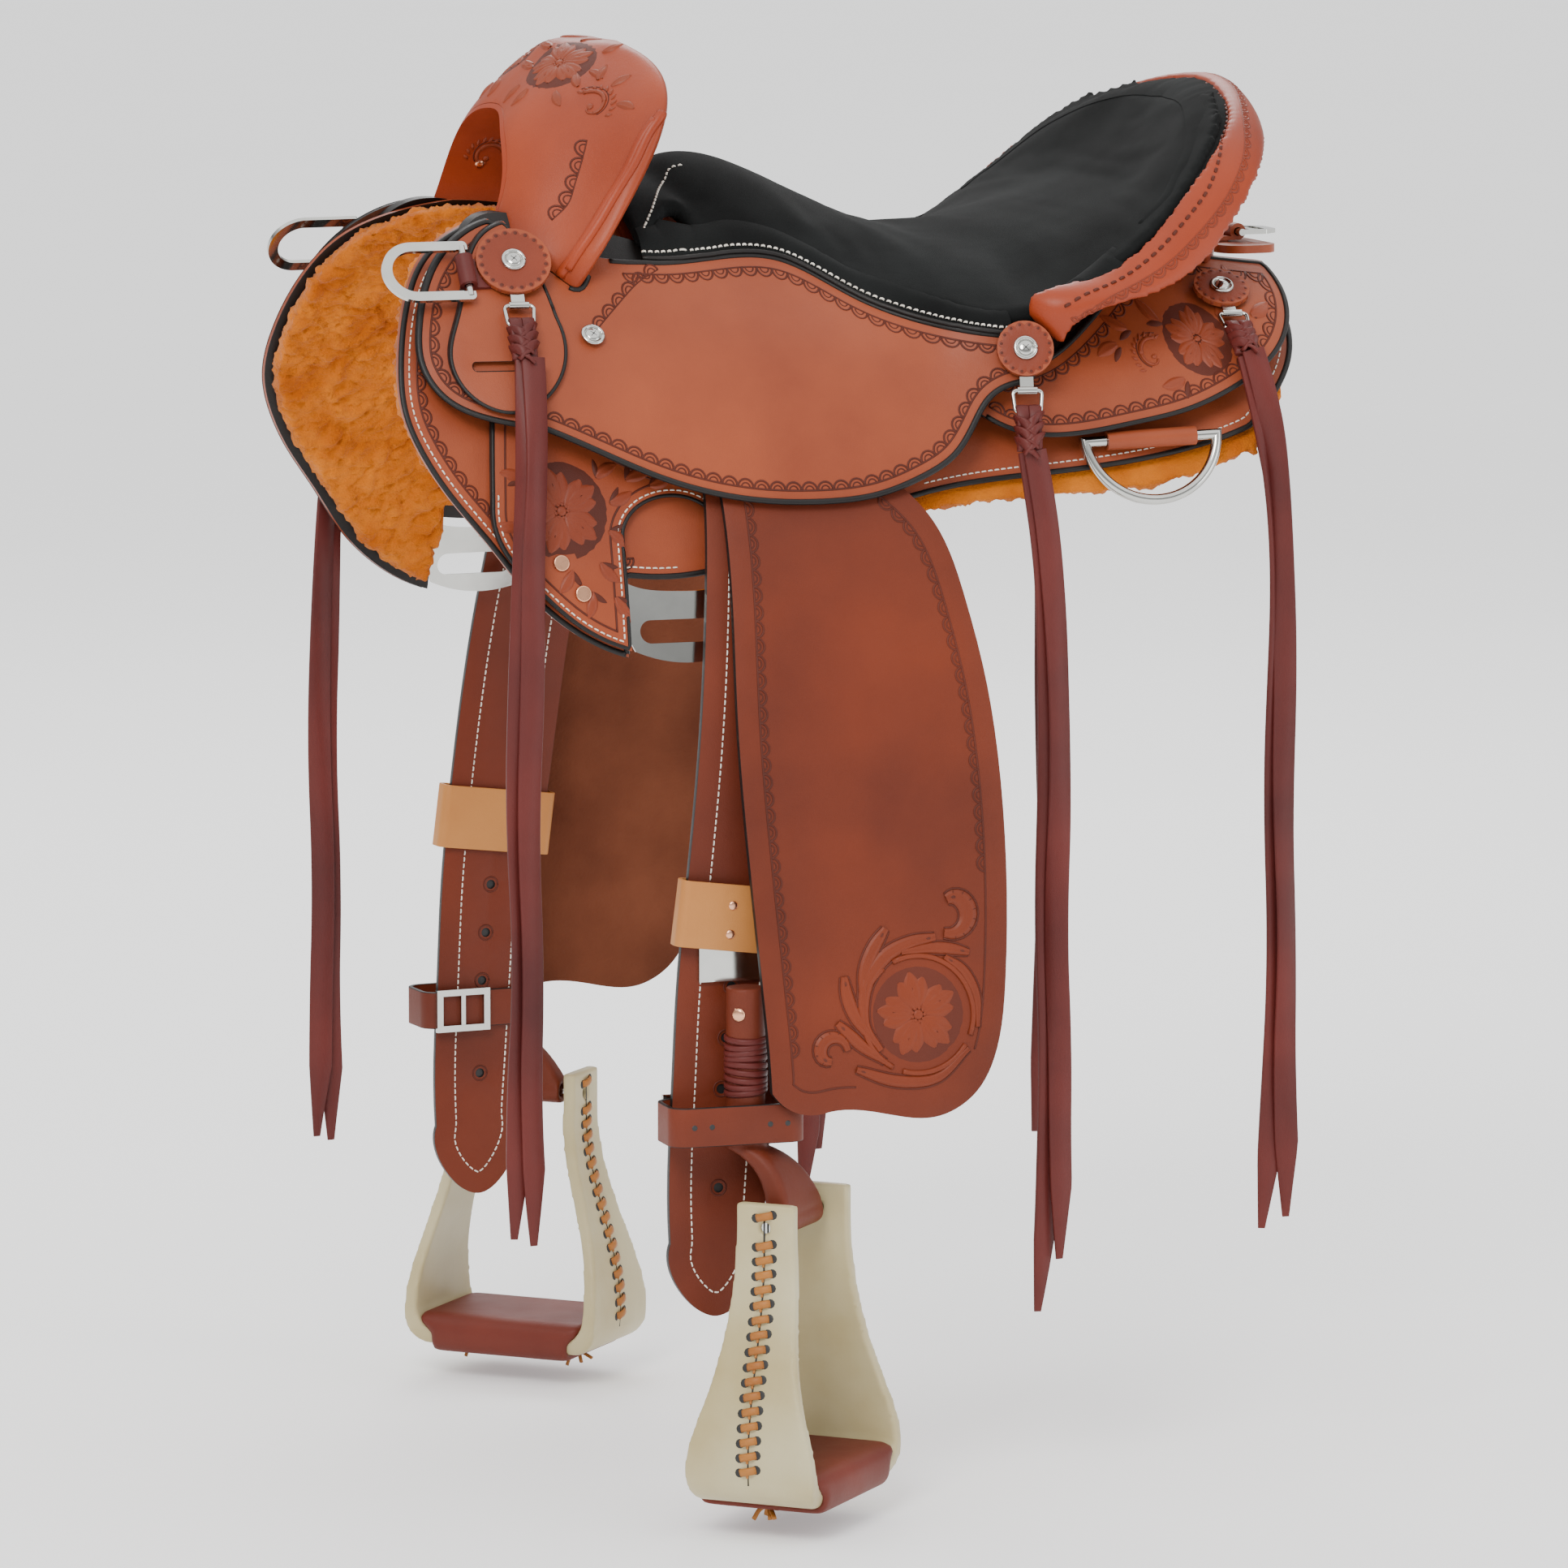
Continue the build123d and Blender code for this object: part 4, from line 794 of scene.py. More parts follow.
def settled(mesh, steps):
    """Movements of a mesh's points, averaged with their neighbours' so that no point stands out."""
    for _ in range(PAD_SETTLE):
        sums, counts = [step.copy() for step in steps], [1] * len(steps)
        for edge in mesh.edges:
            for a, b in (edge.vertices, reversed(edge.vertices)):
                sums[a] += steps[b]
                counts[a] += 1
        steps = [total / n for total, n in zip(sums, counts)]
    return steps


def blown(mesh, walls):
    """Where a cloth simulation moves the cover's points; those near the walls or underneath are held."""
    start = [v.co.copy() for v in mesh.vertices]
    pad = linked("pad_sim", mesh)
    held = pad.vertex_groups.new(name="held")
    for v in mesh.vertices:
        if min(wall.find_nearest(v.co)[3] for wall in walls) < PAD_HELD or v.normal.z < 0.1:
            held.add([v.index], 1.0, "REPLACE")
    cloth = pad.modifiers.new("cloth", "CLOTH")
    cloth.settings.use_pressure = True
    cloth.settings.uniform_pressure_force = PAD_PRESSURE
    cloth.settings.vertex_group_mass = "held"
    cloth.settings.tension_stiffness = cloth.settings.compression_stiffness = 12
    cloth.settings.bending_stiffness = 1.2
    cloth.settings.effector_weights.gravity = 0.0
    cloth.point_cache.frame_end = PAD_FRAMES
    for at in range(1, PAD_FRAMES + 1):
        bpy.context.scene.frame_set(at)
    moved = pad.evaluated_get(bpy.context.evaluated_depsgraph_get()).data
    steps = [v.co - a for a, v in zip(start, moved.vertices)]
    bpy.data.objects.remove(pad)
    bpy.context.scene.frame_set(1)
    return settled(mesh, steps)


def seat_cushion():
    """Padded suede seat: the top swells under pressure while its rim and underside stay put."""
    mesh = remeshed("seat_pad", 3.8, 5, swollen(0.9))
    walls = [tree_of(NODES["ground_seat"].data)]
    walls += [Panel(f"{side}_seat_jockey", g).tree for side, g in SIDES]
    for vertex, step in zip(mesh.vertices, blown(mesh, walls)):
        vertex.co += step * min(1.0, PAD_CAP / max(step.length, 1e-9))
    mesh.update()
    shifted(mesh, lambda p, n: n * noise.noise(p * 24) * 0.9 * MM if n.z > 0.1 else Vector())
    mesh.materials.clear()
    mesh.materials.append(SUEDE)
    mesh.shade_smooth()
    stand_in("seat_pad", mesh)


# ---- hanging strings ------------------------------------------------------------------------------
STRING_WIDTH, STRING_THICK, TIP_LONG = 19.0, 3.0, 50.0
STRING_SHOWN = 16.0        # width after the edges are slicked and curled in
TAILS = {
    "front": (
        ((-217, 168.5, 13.5), (-222, 184, -12), (-227, 198, -52), (-232, 206, -110), (-236, 208, -185),
         (-239, 207, -285), (-235, 208, -385), (-239, 207, -478), (-239, 208, -562)),
        ((-214, 172, 16.5), (-218, 189, -12), (-222, 203, -55), (-228, 210.5, -115), (-229, 212.5, -190),
         (-233, 212, -290), (-229, 212.5, -385), (-232, 212, -480), (-227, 212.5, -566))),
    "middle": (
        ((119, 217.5, -53.5), (122, 220, -80), (127, 220.5, -118), (132, 219.5, -180), (134, 219, -270),
         (130, 219.5, -370), (134, 219, -460), (132, 219.5, -550), (129, 219.5, -634)),
        ((121, 221.5, -52.5), (126, 224, -82), (131, 225, -120), (137, 224, -185), (140, 223.5, -275),
         (136, 224, -370), (140, 223.5, -455), (140, 224, -530), (143, 223.5, -598))),
    "rear": (
        ((286, 196.5, 3.5), (291, 202, -24), (297, 203.5, -60), (303, 202.5, -120), (306, 201.5, -200),
         (304, 202, -300), (308, 201.5, -400), (305, 202, -500), (301, 201.5, -592)),
        ((288, 199.5, 7.5), (295, 206, -22), (302, 208, -60), (307, 207, -122), (311, 206, -205),
         (309, 206.5, -300), (314, 206, -400), (311, 206.5, -495), (317, 206, -584))),
}
# Rosette planes on the off side: centre, normal, upward direction, radius; millimetres.
ROSETTES = {
    "front": ((-209, 119, 74), (-0.137, 0.778, 0.613), (0.106, -0.603, 0.790), 25.0, 20),
    "middle": ((126, 191.6, 12), (-0.241, 0.901, 0.362), (0.093, -0.350, 0.932), 19.0, 16),
    "rear": ((292, 136.2, 42), (-0.059, 0.553, 0.831), (0.089, -0.826, 0.557), 19.0, 16),
}
KNOT_TOP, KNOT_LOW = 26.8, 50.8


def mirrored(v, side):
    """Off-side point or direction taken to one side."""
    return Vector((v[0], v[1] * side, v[2]))


def route(points, side):
    """Points along the smooth line through a tail's route."""
    curve = bpy.data.curves.new("route", "CURVE")
    curve.dimensions = "3D"
    curve.resolution_u = 14
    spline = curve.splines.new("NURBS")
    spline.points.add(len(points) - 1)
    for target, point in zip(spline.points, points):
        target.co = (*(mirrored(point, side) * MM), 1.0)
    spline.order_u = 3
    spline.use_endpoint_u = True
    temp = bpy.data.objects.new("route", curve)
    mesh = bpy.data.meshes.new_from_object(temp)
    path = [v.co.copy() for v in mesh.vertices]
    bpy.data.objects.remove(temp)
    return path


STRAP_SECTION = ((-1, 0.55), (-0.93, 1), (0, 1.06), (0.93, 1), (1, 0.55),
                 (1, -0.55), (0.93, -1), (0, -1.06), (-0.93, -1), (-1, -0.55))
BAND_SECTION = ((-1, 0.4), (-0.85, 1), (0, 1.15), (0.85, 1), (1, 0.4),
                (1, -0.4), (0.85, -1), (0, -1), (-0.85, -1), (-1, -0.4))
TWIST = math.radians(38.0)


def strap_mesh(name, path, side, seed):
    """Flat strap with rounded edges along a path: it twists a little and ends in a slanted point."""
    along = [0.0]
    for a, b in zip(path, path[1:]):
        along.append(along[-1] + (b - a).length)
    total, verts = along[-1], []
    for i, (place, at) in enumerate(zip(path, along)):
        tangent = (path[min(i + 1, len(path) - 1)] - path[max(i - 1, 0)]).normalized()
        flat = Vector((1, 0, 0)) - tangent * tangent.x
        turn = TWIST * noise.noise(Vector((seed * 7.3, 0, at * 4.0))) * min(1.0, at / 0.08) * 2.0
        flat = (Matrix.Rotation(turn * side, 3, tangent) @ flat).normalized()
        out = tangent.cross(flat)
        left = (total - at) / (TIP_LONG * MM)
        half = STRING_SHOWN / 2 * MM * min(1.0, 0.3 + 0.7 * left)
        slant = STRING_SHOWN / 2 * MM - half
        deep = STRING_THICK / 2 * MM * min(1.0, 0.6 + 0.4 * left)
        for u, w in STRAP_SECTION:
            verts.append(place + flat * (u * half - slant * 0.5) + out * deep * w)
    mesh = bpy.data.meshes.new(name)
    mesh.from_pydata(verts, [], capped(len(path), 10))
    mesh.materials.append(BURGUNDY)
    mesh.shade_smooth()
    mesh.set_sharp_from_angle(angle=math.radians(60))
    return mesh


def plait(name, side_name, side):
    """Slit-braid knot: the strap loops over the wire dee and passes through itself in three turns."""
    centre, normal, up, radius, _ = ROSETTES[name]
    centre, normal, up = (mirrored(v, side) for v in (centre, normal, up))
    across = up.cross(normal).normalized()
    gather = Gather()

    def spot(u, v, w):
        return (centre + across * u * 0.76 + up * v + normal * w) * MM

    top, low = -(radius + KNOT_TOP), -(radius + KNOT_LOW)
    for way in (-1, 1):
        band(gather, [spot(way * 5.5, top + 5.5, 2.0), spot(way * 5.5, top + 4.5, 5.5), spot(way * 5.5, top - 2, 7.5),
                      spot(way * 5, top - 10, 6.5)], across, 8.5 * MM, 2.2 * MM)
    for k in range(3):
        for way in (1, -1):
            v = top - 3 - k * 7.2 - (3.0 if way < 0 else 0)
            band(gather, [spot(way * 11.5, v + 2.5, 3.2), spot(way * 7.5, v, 8.8), spot(0, v - 5.5, 10.2),
                          spot(-way * 6.5, v - 10.5, 7.5)], (up + across * way * 0.6).normalized(), 6.6 * MM, 2.2 * MM)
    spine = [spot(0, top - 2, 1.5), spot(0, (top + low) / 2, 3.6), spot(0, low - 1, 2.2)]
    band(gather, spine, across, 17 * MM, 5.0 * MM)
    return gather.piece(f"{side_name}_{name}_string_knot", BURGUNDY, "saddle", f"{name}_string")


def band(gather, points, across, width, thick):
    """Short flat strap through a few points."""
    pts = [Vector(p) for p in curve_through([tuple(p) for p in points], 2.2 * MM)]
    verts = []
    for i, place in enumerate(pts):
        tangent = (pts[min(i + 1, len(pts) - 1)] - pts[max(i - 1, 0)]).normalized()
        flat = (across - tangent * across.dot(tangent)).normalized()
        out = tangent.cross(flat)
        for u, w in BAND_SECTION:
            verts.append(place + flat * u * width / 2 + out * w * thick / 2)
    gather.add(verts, capped(len(pts), 10))


def strings():
    """Six plaited knots with two free tails each."""
    for side, g in SIDES:
        for name, tails in TAILS.items():
            knot = plait(name, side, g)
            for k, points in enumerate(tails):
                path = route(points, g)
                mesh = strap_mesh(f"{side}_{name}_tail_{'ab'[k]}", path, g, k + len(name) + (3 if g > 0 else 0))
                piece = placed(mesh.name, mesh, "saddle")
                tuple(path[0])
                [tuple(p) for p in path]
                if k == 0:
                    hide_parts(f"{side}_{name}_string")


# ---- decoration ------------------------------------------------------------------------------------
DECOR = {}


def on(body, material, slot):
    """The gathering mesh for one material on one body and slot."""
    return DECOR.setdefault((body, material.name, slot), (Gather(), material))[0]


def hang_decor():
    """Makes one piece of each gathering mesh."""
    for (body, tone, slot), (gather, material) in DECOR.items():
        gather.piece(f"{body}_{slot}_{tone}", material, body, slot)


def level(points, x):
    """Height of a polyline at x."""
    xs, zs = zip(*sorted(points))
    return float(np.interp(x, xs, zs))


SEAT_LINE = [(-300, 130), (-215, 104), (-189, 66), (-177, 52), (-150, 62), (-113, 83), (-71, 85), (-43, 87), (-12, 82),
             (12, 70), (35, 56), (58, 48), (78, 41), (99, 37), (150, 30)]
ROLL_LINE = [(90, 40), (137, 34), (154, 17), (192, 30), (236, 55), (285, 88), (345, 110)]
JOCKEY_LOW = [(-290, 12), (-272, -9), (-244, -24), (-208, -31), (-175, -46), (-135, -64), (-67, -81), (-22, -83),
              (12, -80), (47, -69), (72, -55), (100, -30), (160, -46), (239, -33), (310, 0), (345, 40)]


def sprigs(relief, panel, spots, bend, long=17, wide=8):
    """Small leaves at (x, z, angle), bent to alternate sides."""
    for k, (x, z, angle) in enumerate(spots):
        leaf(relief, panel, (x, z), angle, long, wide, bend if k % 2 else -bend)


REAR_SPRIGS = ((240, 24, 2.4), (282, 26, 0.6), (286, 6, -0.2), (300, 40, 1.0), (216, 20, 2.9), (306, 26, 0.2),
               (244, -12, -2.6), (205, 10, 3.3))
RIG_SPRIGS = ((-172, -64, 0.8), (-165, -80, 0.1), (-168, -98, -0.5), (-222, -64, 2.5), (-228, -92, 3.4),
              (-222, -112, 4.0), (-196, -122, -1.9), (-176, -118, -1.1), (-184, -136, -1.5), (-168, -140, -1.2),
              (-152, -66, 0.5), (-136, -70, 0.1))


def skirt_trim(side, g):
    """Stitching, border and edge of the skirt where the jockeys leave it bare."""
    skirt = Panel(f"{side}_skirt", g)
    loop = skirt.outline()
    thread, tool = on("saddle", THREAD, "skirt"), on("saddle", TOOL_SHADE_AND_ROLL_LACE, "skirt")

    def seen(x, z):
        return (z < level(JOCKEY_LOW, x) + 4 or x < -205) and (x < -120 or x > 55)

    for path in inset(loop, 7.0, seen):
        stitches(thread, skirt, path)
    # The border's dark lines and scallops are painted groove shade.
    border(skirt, tool, loop, 12.5, True, lambda x, z: x < -150 and seen(x, z))
    dyed_edge(skirt, "skirt", loop, 1.6, 2.0, lambda x, z: x < -150 or z < 60)


def jockey_trims(side, g):
    """Borders of the seat jockey, the keeper and the rear jockey, and the rear jockey's carving."""
    jockey = Panel(f"{side}_seat_jockey", g)
    loop = jockey.outline()
    # Dark border lines, scallops and stamps on the seat jockey: painted groove shade.
    tool = on("saddle", TOOL_SHADE_AND_ROLL_LACE, "seat_jockey")
    border(jockey, tool, loop, 8.5, True, lambda x, z: z < level(SEAT_LINE, x) - 8)
    dyed_edge(jockey, "seat_jockey", loop, 1.3, 2.1, lambda x, z: z < level(SEAT_LINE, x) + 4)
    swell_side = curve_through([(-104, 66), (-122, 58), (-142, 44), (-160, 30)], 2.0)
    lines(tool, jockey, swell_side, 0.55)
    scallops(tool, jockey, swell_side, -1)

    keeper = Panel("latigo_keepers", g)
    dyed_edge(keeper, "latigo_keepers", keeper.outline(), 1.0, 1.2)

    rear = Panel(f"{side}_rear_jockey", g)
    loop = rear.outline()
    # Dark border, flower cuts and ground and scroll outline on the rear jockey: painted shade.
    tool, relief = on("saddle", TOOL_SHADE_AND_ROLL_LACE, "rear_jockey"), on("saddle", RELIEF, "rear_jockey")
    border(rear, tool, loop, 8.0, True, lambda x, z: z < level(ROLL_LINE, x) - 6 and x > 104)
    dyed_edge(rear, "rear_jockey", loop, 1.4, 1.8, lambda x, z: x > 100 and z < level(ROLL_LINE, x) + 4)
    flower(relief, tool, rear, 262, 12, 21, spin=0.2)
    scroll(relief, tool, rear, 228, 2, 12, 1.2)
    sprigs(relief, rear, REAR_SPRIGS, 0.5)
    # Dark flat leaf beside each sprig: its painted shadow.
    for x, z, angle in REAR_SPRIGS:
        leaf(tool, rear, (x + 2, z - 2), angle + 0.6, 11, 4, 0.3, 0.5, False)


def rigging_trim(side, g):
    """Stitching, border, edge and carving of the rigging leather below the jockey."""
    rig = Panel(f"{side}_rigging_leather", g)
    loop = rig.outline()
    thread = on("saddle", THREAD, "rigging_leather")
    tool, relief = on("saddle", TOOL_SHADE_AND_ROLL_LACE, "rigging_leather"), on("saddle", RELIEF, "rigging_leather")

    def below(x, z):
        return z < level(JOCKEY_LOW, x) + 2

    for path in inset(loop, 4.6, lambda x, z: below(x, z) and not (x < -225 and z > -70)):
        stitches(thread, rig, path)
    dyed_edge(rig, "rigging_leather", loop, 1.2, 1.3, below)
    # Dark border line, flower cuts and ground: painted shade.
    border(rig, tool, loop, 9.5, False, below)
    flower(relief, tool, rig, -199, -84, 29, spin=0.55)
    sprigs(relief, rig, RIG_SPRIGS, 0.6)
    # Dark flat leaf beside each sprig: its painted shadow.
    for x, z, angle in RIG_SPRIGS:
        leaf(tool, rig, (x, z), angle + 0.7, 12, 4, 0.3, 0.5, False)


def leg_trims(side, g):
    """Border and carving of the fender, and the stirrup leather's stitching on both faces."""
    body = f"{side}_leg"
    fender = Panel(f"{side}_fender", g)
    loop = fender.outline()
    tool, relief = on(body, TOOL_SHADE_AND_ROLL_LACE, "fender"), on(body, FENDER_RELIEF, "fender")
    # Dark border, scallops and carving outlines: painted groove shade.
    border(fender, tool, loop, 15.0, False, lambda x, z: z < -70 and not (x > -30 and z < -440))
    for path in inset(loop, 15.0, lambda x, z: -325 < z < -80 or (x < -40 and -440 < z < -80)):
        scallops(tool, fender, path, inside_of(loop, path))
    fender_carving(relief, tool, fender)
    for inside in (False, True):
        strap = Panel(f"{side}_stirrup_leather", g, inside)
        for path in inset(strap.outline(), 15.0, lambda x, z: z < -50):
            stitches(on(body, THREAD, "stirrup_leather"), strap, path)


# Fender carving, in millimetres from the centre of its flower.
BLOOM, BLOOM_RADIUS, RING_RADIUS = (13.0, -415.0), 29.0, 38.5
BLADES = (
    (((-27, -22), (-37, -4), (-35, 20), (-22, 38), (-4, 47), (14, 50)), 10.0),
    (((-38, 8), (-36, 28), (-29, 44), (-20, 57)), 9.5),
    (((-30, -18), (-42, -2), (-48, 13), (-50, 27)), 9.0),
    (((-24, -30), (-38, -20), (-49, -10), (-56, -3)), 8.5),
    (((-10, 41), (10, 43), (24, 42), (37, 39)), 8.0),
    (((34, -24), (12, -42), (-16, -43), (-44, -34)), 8.0),
    (((41, -10), (41, 10), (33, 27), (20, 37)), 7.0),
)
CURLS = (((25, 66), 14.5, 12.5, -1.9, 3.7), ((-60, -22), 10.5, 9.5, 0.1, 4.4))


def blade(relief, tool, panel, points, width, hatch=0):
    """Carved leaf along a line: a tapering dome with an outline, an eye at its tip and hatching, all three dark with
    painted shade.
    """
    path = curve_through(points, 2.4)
    count = len(path)
    verts, edges = [], ([], [])
    for i, (x, z) in enumerate(path):
        ahead, behind = path[min(i + 1, count - 1)], path[max(i - 1, 0)]
        run = math.hypot(ahead[0] - behind[0], ahead[1] - behind[1])
        nx, nz = -(ahead[1] - behind[1]) / run, (ahead[0] - behind[0]) / run
        t = i / (count - 1)
        half = width / 2 * math.sin(math.pi * (0.1 + 0.78 * t ** 1.4)) ** 0.6
        for j in range(7):
            v = j / 3 - 1
            lift = 0.05 + 1.9 * max(0.0, 1 - v * v) ** 0.6 * (0.62 if j == 3 else 1.0)
            verts.append(panel.at(x + nx * half * v, z + nz * half * v, lift * MM)[0])
        for line, v in zip(edges, (-1.12, 1.12)):
            line.append((x + nx * half * v, z + nz * half * v))
        if hatch and i % 2 and 0.06 < t < 0.94:
            strokes = [(x + nx * half * v, z + nz * half * v) for v in (hatch * 0.4, hatch * 0.95)]
            ridge(tool, panel.run(strokes, 1.5 * MM), 0.3 * MM, 0.7, 4, True)
    relief.add(verts, grid_faces(count, 7))
    for line in edges:
        ridge(tool, panel.run(line, 0.1 * MM), 0.75 * MM, 0.7, 5)
    place, normal = panel.at(*path[-3], 1.1 * MM)
    ball(tool, place, normal, 1.8 * MM, 0.7 * MM, 3, 8)


def fender_carving(relief, tool, fender):
    """Corner carving: a flower in a ring, with leaves and curls that sweep up and forward from it."""
    bx, bz = BLOOM
    for start, end in ((-0.4, 2.0), (2.2, 4.2), (4.4, 5.7)):
        ridge(relief, fender.run(arc(bx, bz, RING_RADIUS, start, end, 20), 0.4 * MM), 2.0 * MM, 0.6)
    flower(relief, tool, fender, bx, bz, BLOOM_RADIUS, spin=0.5)
    for points, width in BLADES:
        blade(relief, tool, fender, [(bx + x, bz + z) for x, z in points], width)
    for (cx, cz), radius, width, start, turn in CURLS:
        points = []
        for t in np.linspace(0, 1, 9):
            r, angle = radius * (1 - 0.42 * t * t), start + turn * t
            points.append((bx + cx + r * math.cos(angle), bz + cz + r * math.sin(angle)))
        blade(relief, tool, fender, points, width, -1)


ROLL_LACING = ((331, 0, 175), (320, 60, 169), (304, 104, 158), (288, 145, 140), (269, 169, 115), (247, 180, 94),
               (220, 187, 71), (187, 195, 54), (150, 197, 39))
ROLL_STAMPS = ((342, 0, 175), (334, 58, 171), (318, 112, 158), (301, 151, 132), (279, 173, 107), (253, 185, 84),
               (224, 192, 63), (185, 200, 46), (156, 198, 33))
ROLL_LIP = ((320, 0, 178), (312, 56, 172), (296, 99, 160), (276, 140, 138), (255, 163, 113), (236, 174, 93),
            (213, 181, 72), (178, 188, 55), (142, 190, 40))


def along_side(points, g, step):
    """Smooth path through off-side points taken to one side."""
    return curve_through([(x, y * g, z) for x, y, z in points], step)


def stamped_roll():
    """Lacing, and border lines and scallops in dark painted shade, on the cantle roll."""
    tree = tree_of(SKINS["cantle_roll"])
    lace, tool = on("saddle", TOOL_SHADE_AND_ROLL_LACE, "cantle_roll"), on("saddle", DARK_TAN, "cantle_roll")
    for g in (1, -1):
        sewn(lace, [snap(tree, p) for p in along_side(ROLL_LACING, g, 7.5)], 0.72, 1.15 * MM, 0.1)
        # Dark border lines and scallops: painted shade of the stamps.
        for points in (ROLL_STAMPS, ROLL_LIP):
            ridge(tool, [snap(tree, p) for p in along_side(points, g, 3.0)], 0.6 * MM, 0.6)
        spots = [snap(tree, p) for p in along_side(ROLL_STAMPS, g, SCALLOP_PITCH)]
        for (a, normal), (b, _) in zip(spots, spots[1:]):
            along = (b - a).normalized()
            across = along.cross(normal)
            if across.dot(Vector((0.2, a.y, -0.1))) < 0:
                across = -across
            for size in (5.2, 2.8):
                half = [(a + b) / 2 + (along * math.cos(t) + across * math.sin(t)) * size * MM
                        for t in np.linspace(0, math.pi, 10)]
                ridge(tool, [tree.find_nearest(p)[:2] for p in half], 0.8 * MM, 0.6, 5)


SEAT_LOW = [(-112, 95, 83), (-71, 96, 87), (-43, 91, 89), (-12, 95, 84), (12, 107, 72), (35, 122, 58), (58, 138, 50),
            (78, 160, 43), (99, 181, 39), (118, 190, 36)]
SEAT_FRONT = [(-108, 93, 86), (-101, 85, 95), (-90, 68, 105), (-80, 50, 114), (-68, 32, 124), (-56, 33, 127)]


APRON_ROWS = 7


def seat_stitching():
    """Suede apron between the seat and the jockeys, with white thread along it and up the front edge."""
    thread, suede = on("saddle", THREAD, "seat_pad"), on("saddle", SUEDE, "seat_pad")
    for side, g in SIDES:
        pad, jockey = Panel("seat_pad", g).tree, Panel(f"{side}_seat_jockey", g).tree
        out = Vector((0, 0.8 * g, 0.6))
        rows = []
        for x, y, z in curve_through(SEAT_LOW, 4.6):
            low, low_normal = snap(jockey, (x, (y + 7) * g, z - 7))
            high, high_normal = snap(pad, (x, (y - 9) * g, z + 9))
            low, high = low + low_normal * 0.8 * MM, high + high_normal * 0.8 * MM
            rows.append([low.lerp(high, t) + out * 3.4 * MM * math.sin(math.pi * (0.08 + 0.92 * t)) ** 0.8
                         for t in np.linspace(0, 1, APRON_ROWS)])
        strip(suede, rows)
        sewn(thread, [(row[1], out) for row in rows], 0.68, 0.8 * MM)
        ridge(on("saddle", EDGE, "seat_pad"), [(row[0], out) for row in rows], 1.7 * MM, 0.9, 8)
        front = [snap(pad, (x, y - 1.5 * g, z + 3)) for x, y, z in along_side(SEAT_FRONT, g, 4.6)]
        sewn(thread, front, 0.68, 0.8 * MM)


SEAT_REAR = [(322, 0, 178), (316, 50, 173), (300, 98, 161), (281, 138, 140), (260, 160, 116), (240, 173, 95),
             (216, 180, 73), (181, 187, 57), (146, 190, 42)]
SEAT_HEART = Vector((190, 0, 105))


def seat_gusset():
    """Suede edge of the seat drawn up against the cantle roll."""
    suede = on("saddle", SUEDE, "seat_pad")
    pad, roll = tree_of(SKINS["seat_pad"]), tree_of(SKINS["cantle_roll"])
    for g in (1, -1):
        rows = []
        for point in along_side(SEAT_REAR, g, 5.0):
            at = Vector(point)
            low, facing = snap(roll, at + Vector((4, 0, 0)))
            high, up = snap(pad, at + (SEAT_HEART - at).normalized() * 20)
            low, high = low - facing * 0.5 * MM, high + up * 0.5 * MM
            rows.append([low.lerp(high, t) + (facing + up).normalized() * 3.0 * MM * math.sin(math.pi * t) ** 0.8
                         for t in np.linspace(0, 1, APRON_ROWS)])
        strip(suede, rows)


SWELL_TOP = ((-146, 34, 200), (-0.5, 0.34, 0.79), (0.62, -0.1, 0.6))      # place, outward, up
SWELL_OUT = ((-142, 84, 173), (-0.57, 0.5, 0.65), (0.6, -0.2, 0.6))
TOP_SPRIGS = ((24, 12, 0.3), (28, -4, -0.2), (20, -24, -1.0), (4, -28, -1.5), (-20, -22, -2.3), (-27, 4, 3.0),
              (-20, 22, 2.2), (8, 26, 1.3))
OUT_SPRIGS = ((-4, 20, 1.8), (10, 22, 1.0), (20, 12, 0.5), (-18, 8, 2.8))
SWELL_STAMPS = ((-149, 152), (-154, 138), (-159, 125), (-165, 111), (-176, 100))
WELT = ((-101, 128, 176), (-112, 128.5, 163), (-123, 129.5, 144), (-136, 127, 123), (-153, 127, 97),
        (-169, 123.5, 73))
# Two welt beads, and two thin dark beads in the creases beside them that are painted shade.
WELT_BEADS = ((6.0, 3.8, ROLL_TAN), (14.5, 3.8, ROLL_TAN), (10.3, 1.3, TOOL_SHADE_AND_ROLL_LACE), (19.2, 1.0, TOOL_SHADE_AND_ROLL_LACE))


def swell_work():
    """Carving, border stamps and the double welt of the swell."""
    # Dark tool lines, cuts, ground and stamps on the swell: painted groove shade.
    tool, relief = on("saddle", TOOL_SHADE_AND_ROLL_LACE, "fork_cover"), on("saddle", RELIEF, "fork_cover")
    for _, g in SIDES:
        top = Panel("fork_cover", g, aim=SWELL_TOP)
        flower(relief, tool, top, 0, 0, 24, spin=0.9)
        sprigs(relief, top, TOP_SPRIGS, 0.5, 15, 7)
        out = Panel("fork_cover", g, aim=SWELL_OUT)
        scroll(relief, tool, out, 0, 0, 15, 0.6)
        for x, z, angle in OUT_SPRIGS:
            leaf(relief, out, (x, z), angle, 15, 7, 0.6)
        face = Panel("fork_cover", g)
        line = curve_through(SWELL_STAMPS, 2.0)
        lines(tool, face, line, 0.55)
        scallops(tool, face, line, -1)
        # The thin dark welt beads are painted shade in the creases.
        for shift, radius, tone in WELT_BEADS:
            path = along_side([(x - shift * 0.8, y, z - shift * 0.6) for x, y, z in WELT], g, 3.0)
            ridge(on("saddle", tone, "fork_cover"), [snap(face.tree, p) for p in path], radius * MM, 0.8, 8)


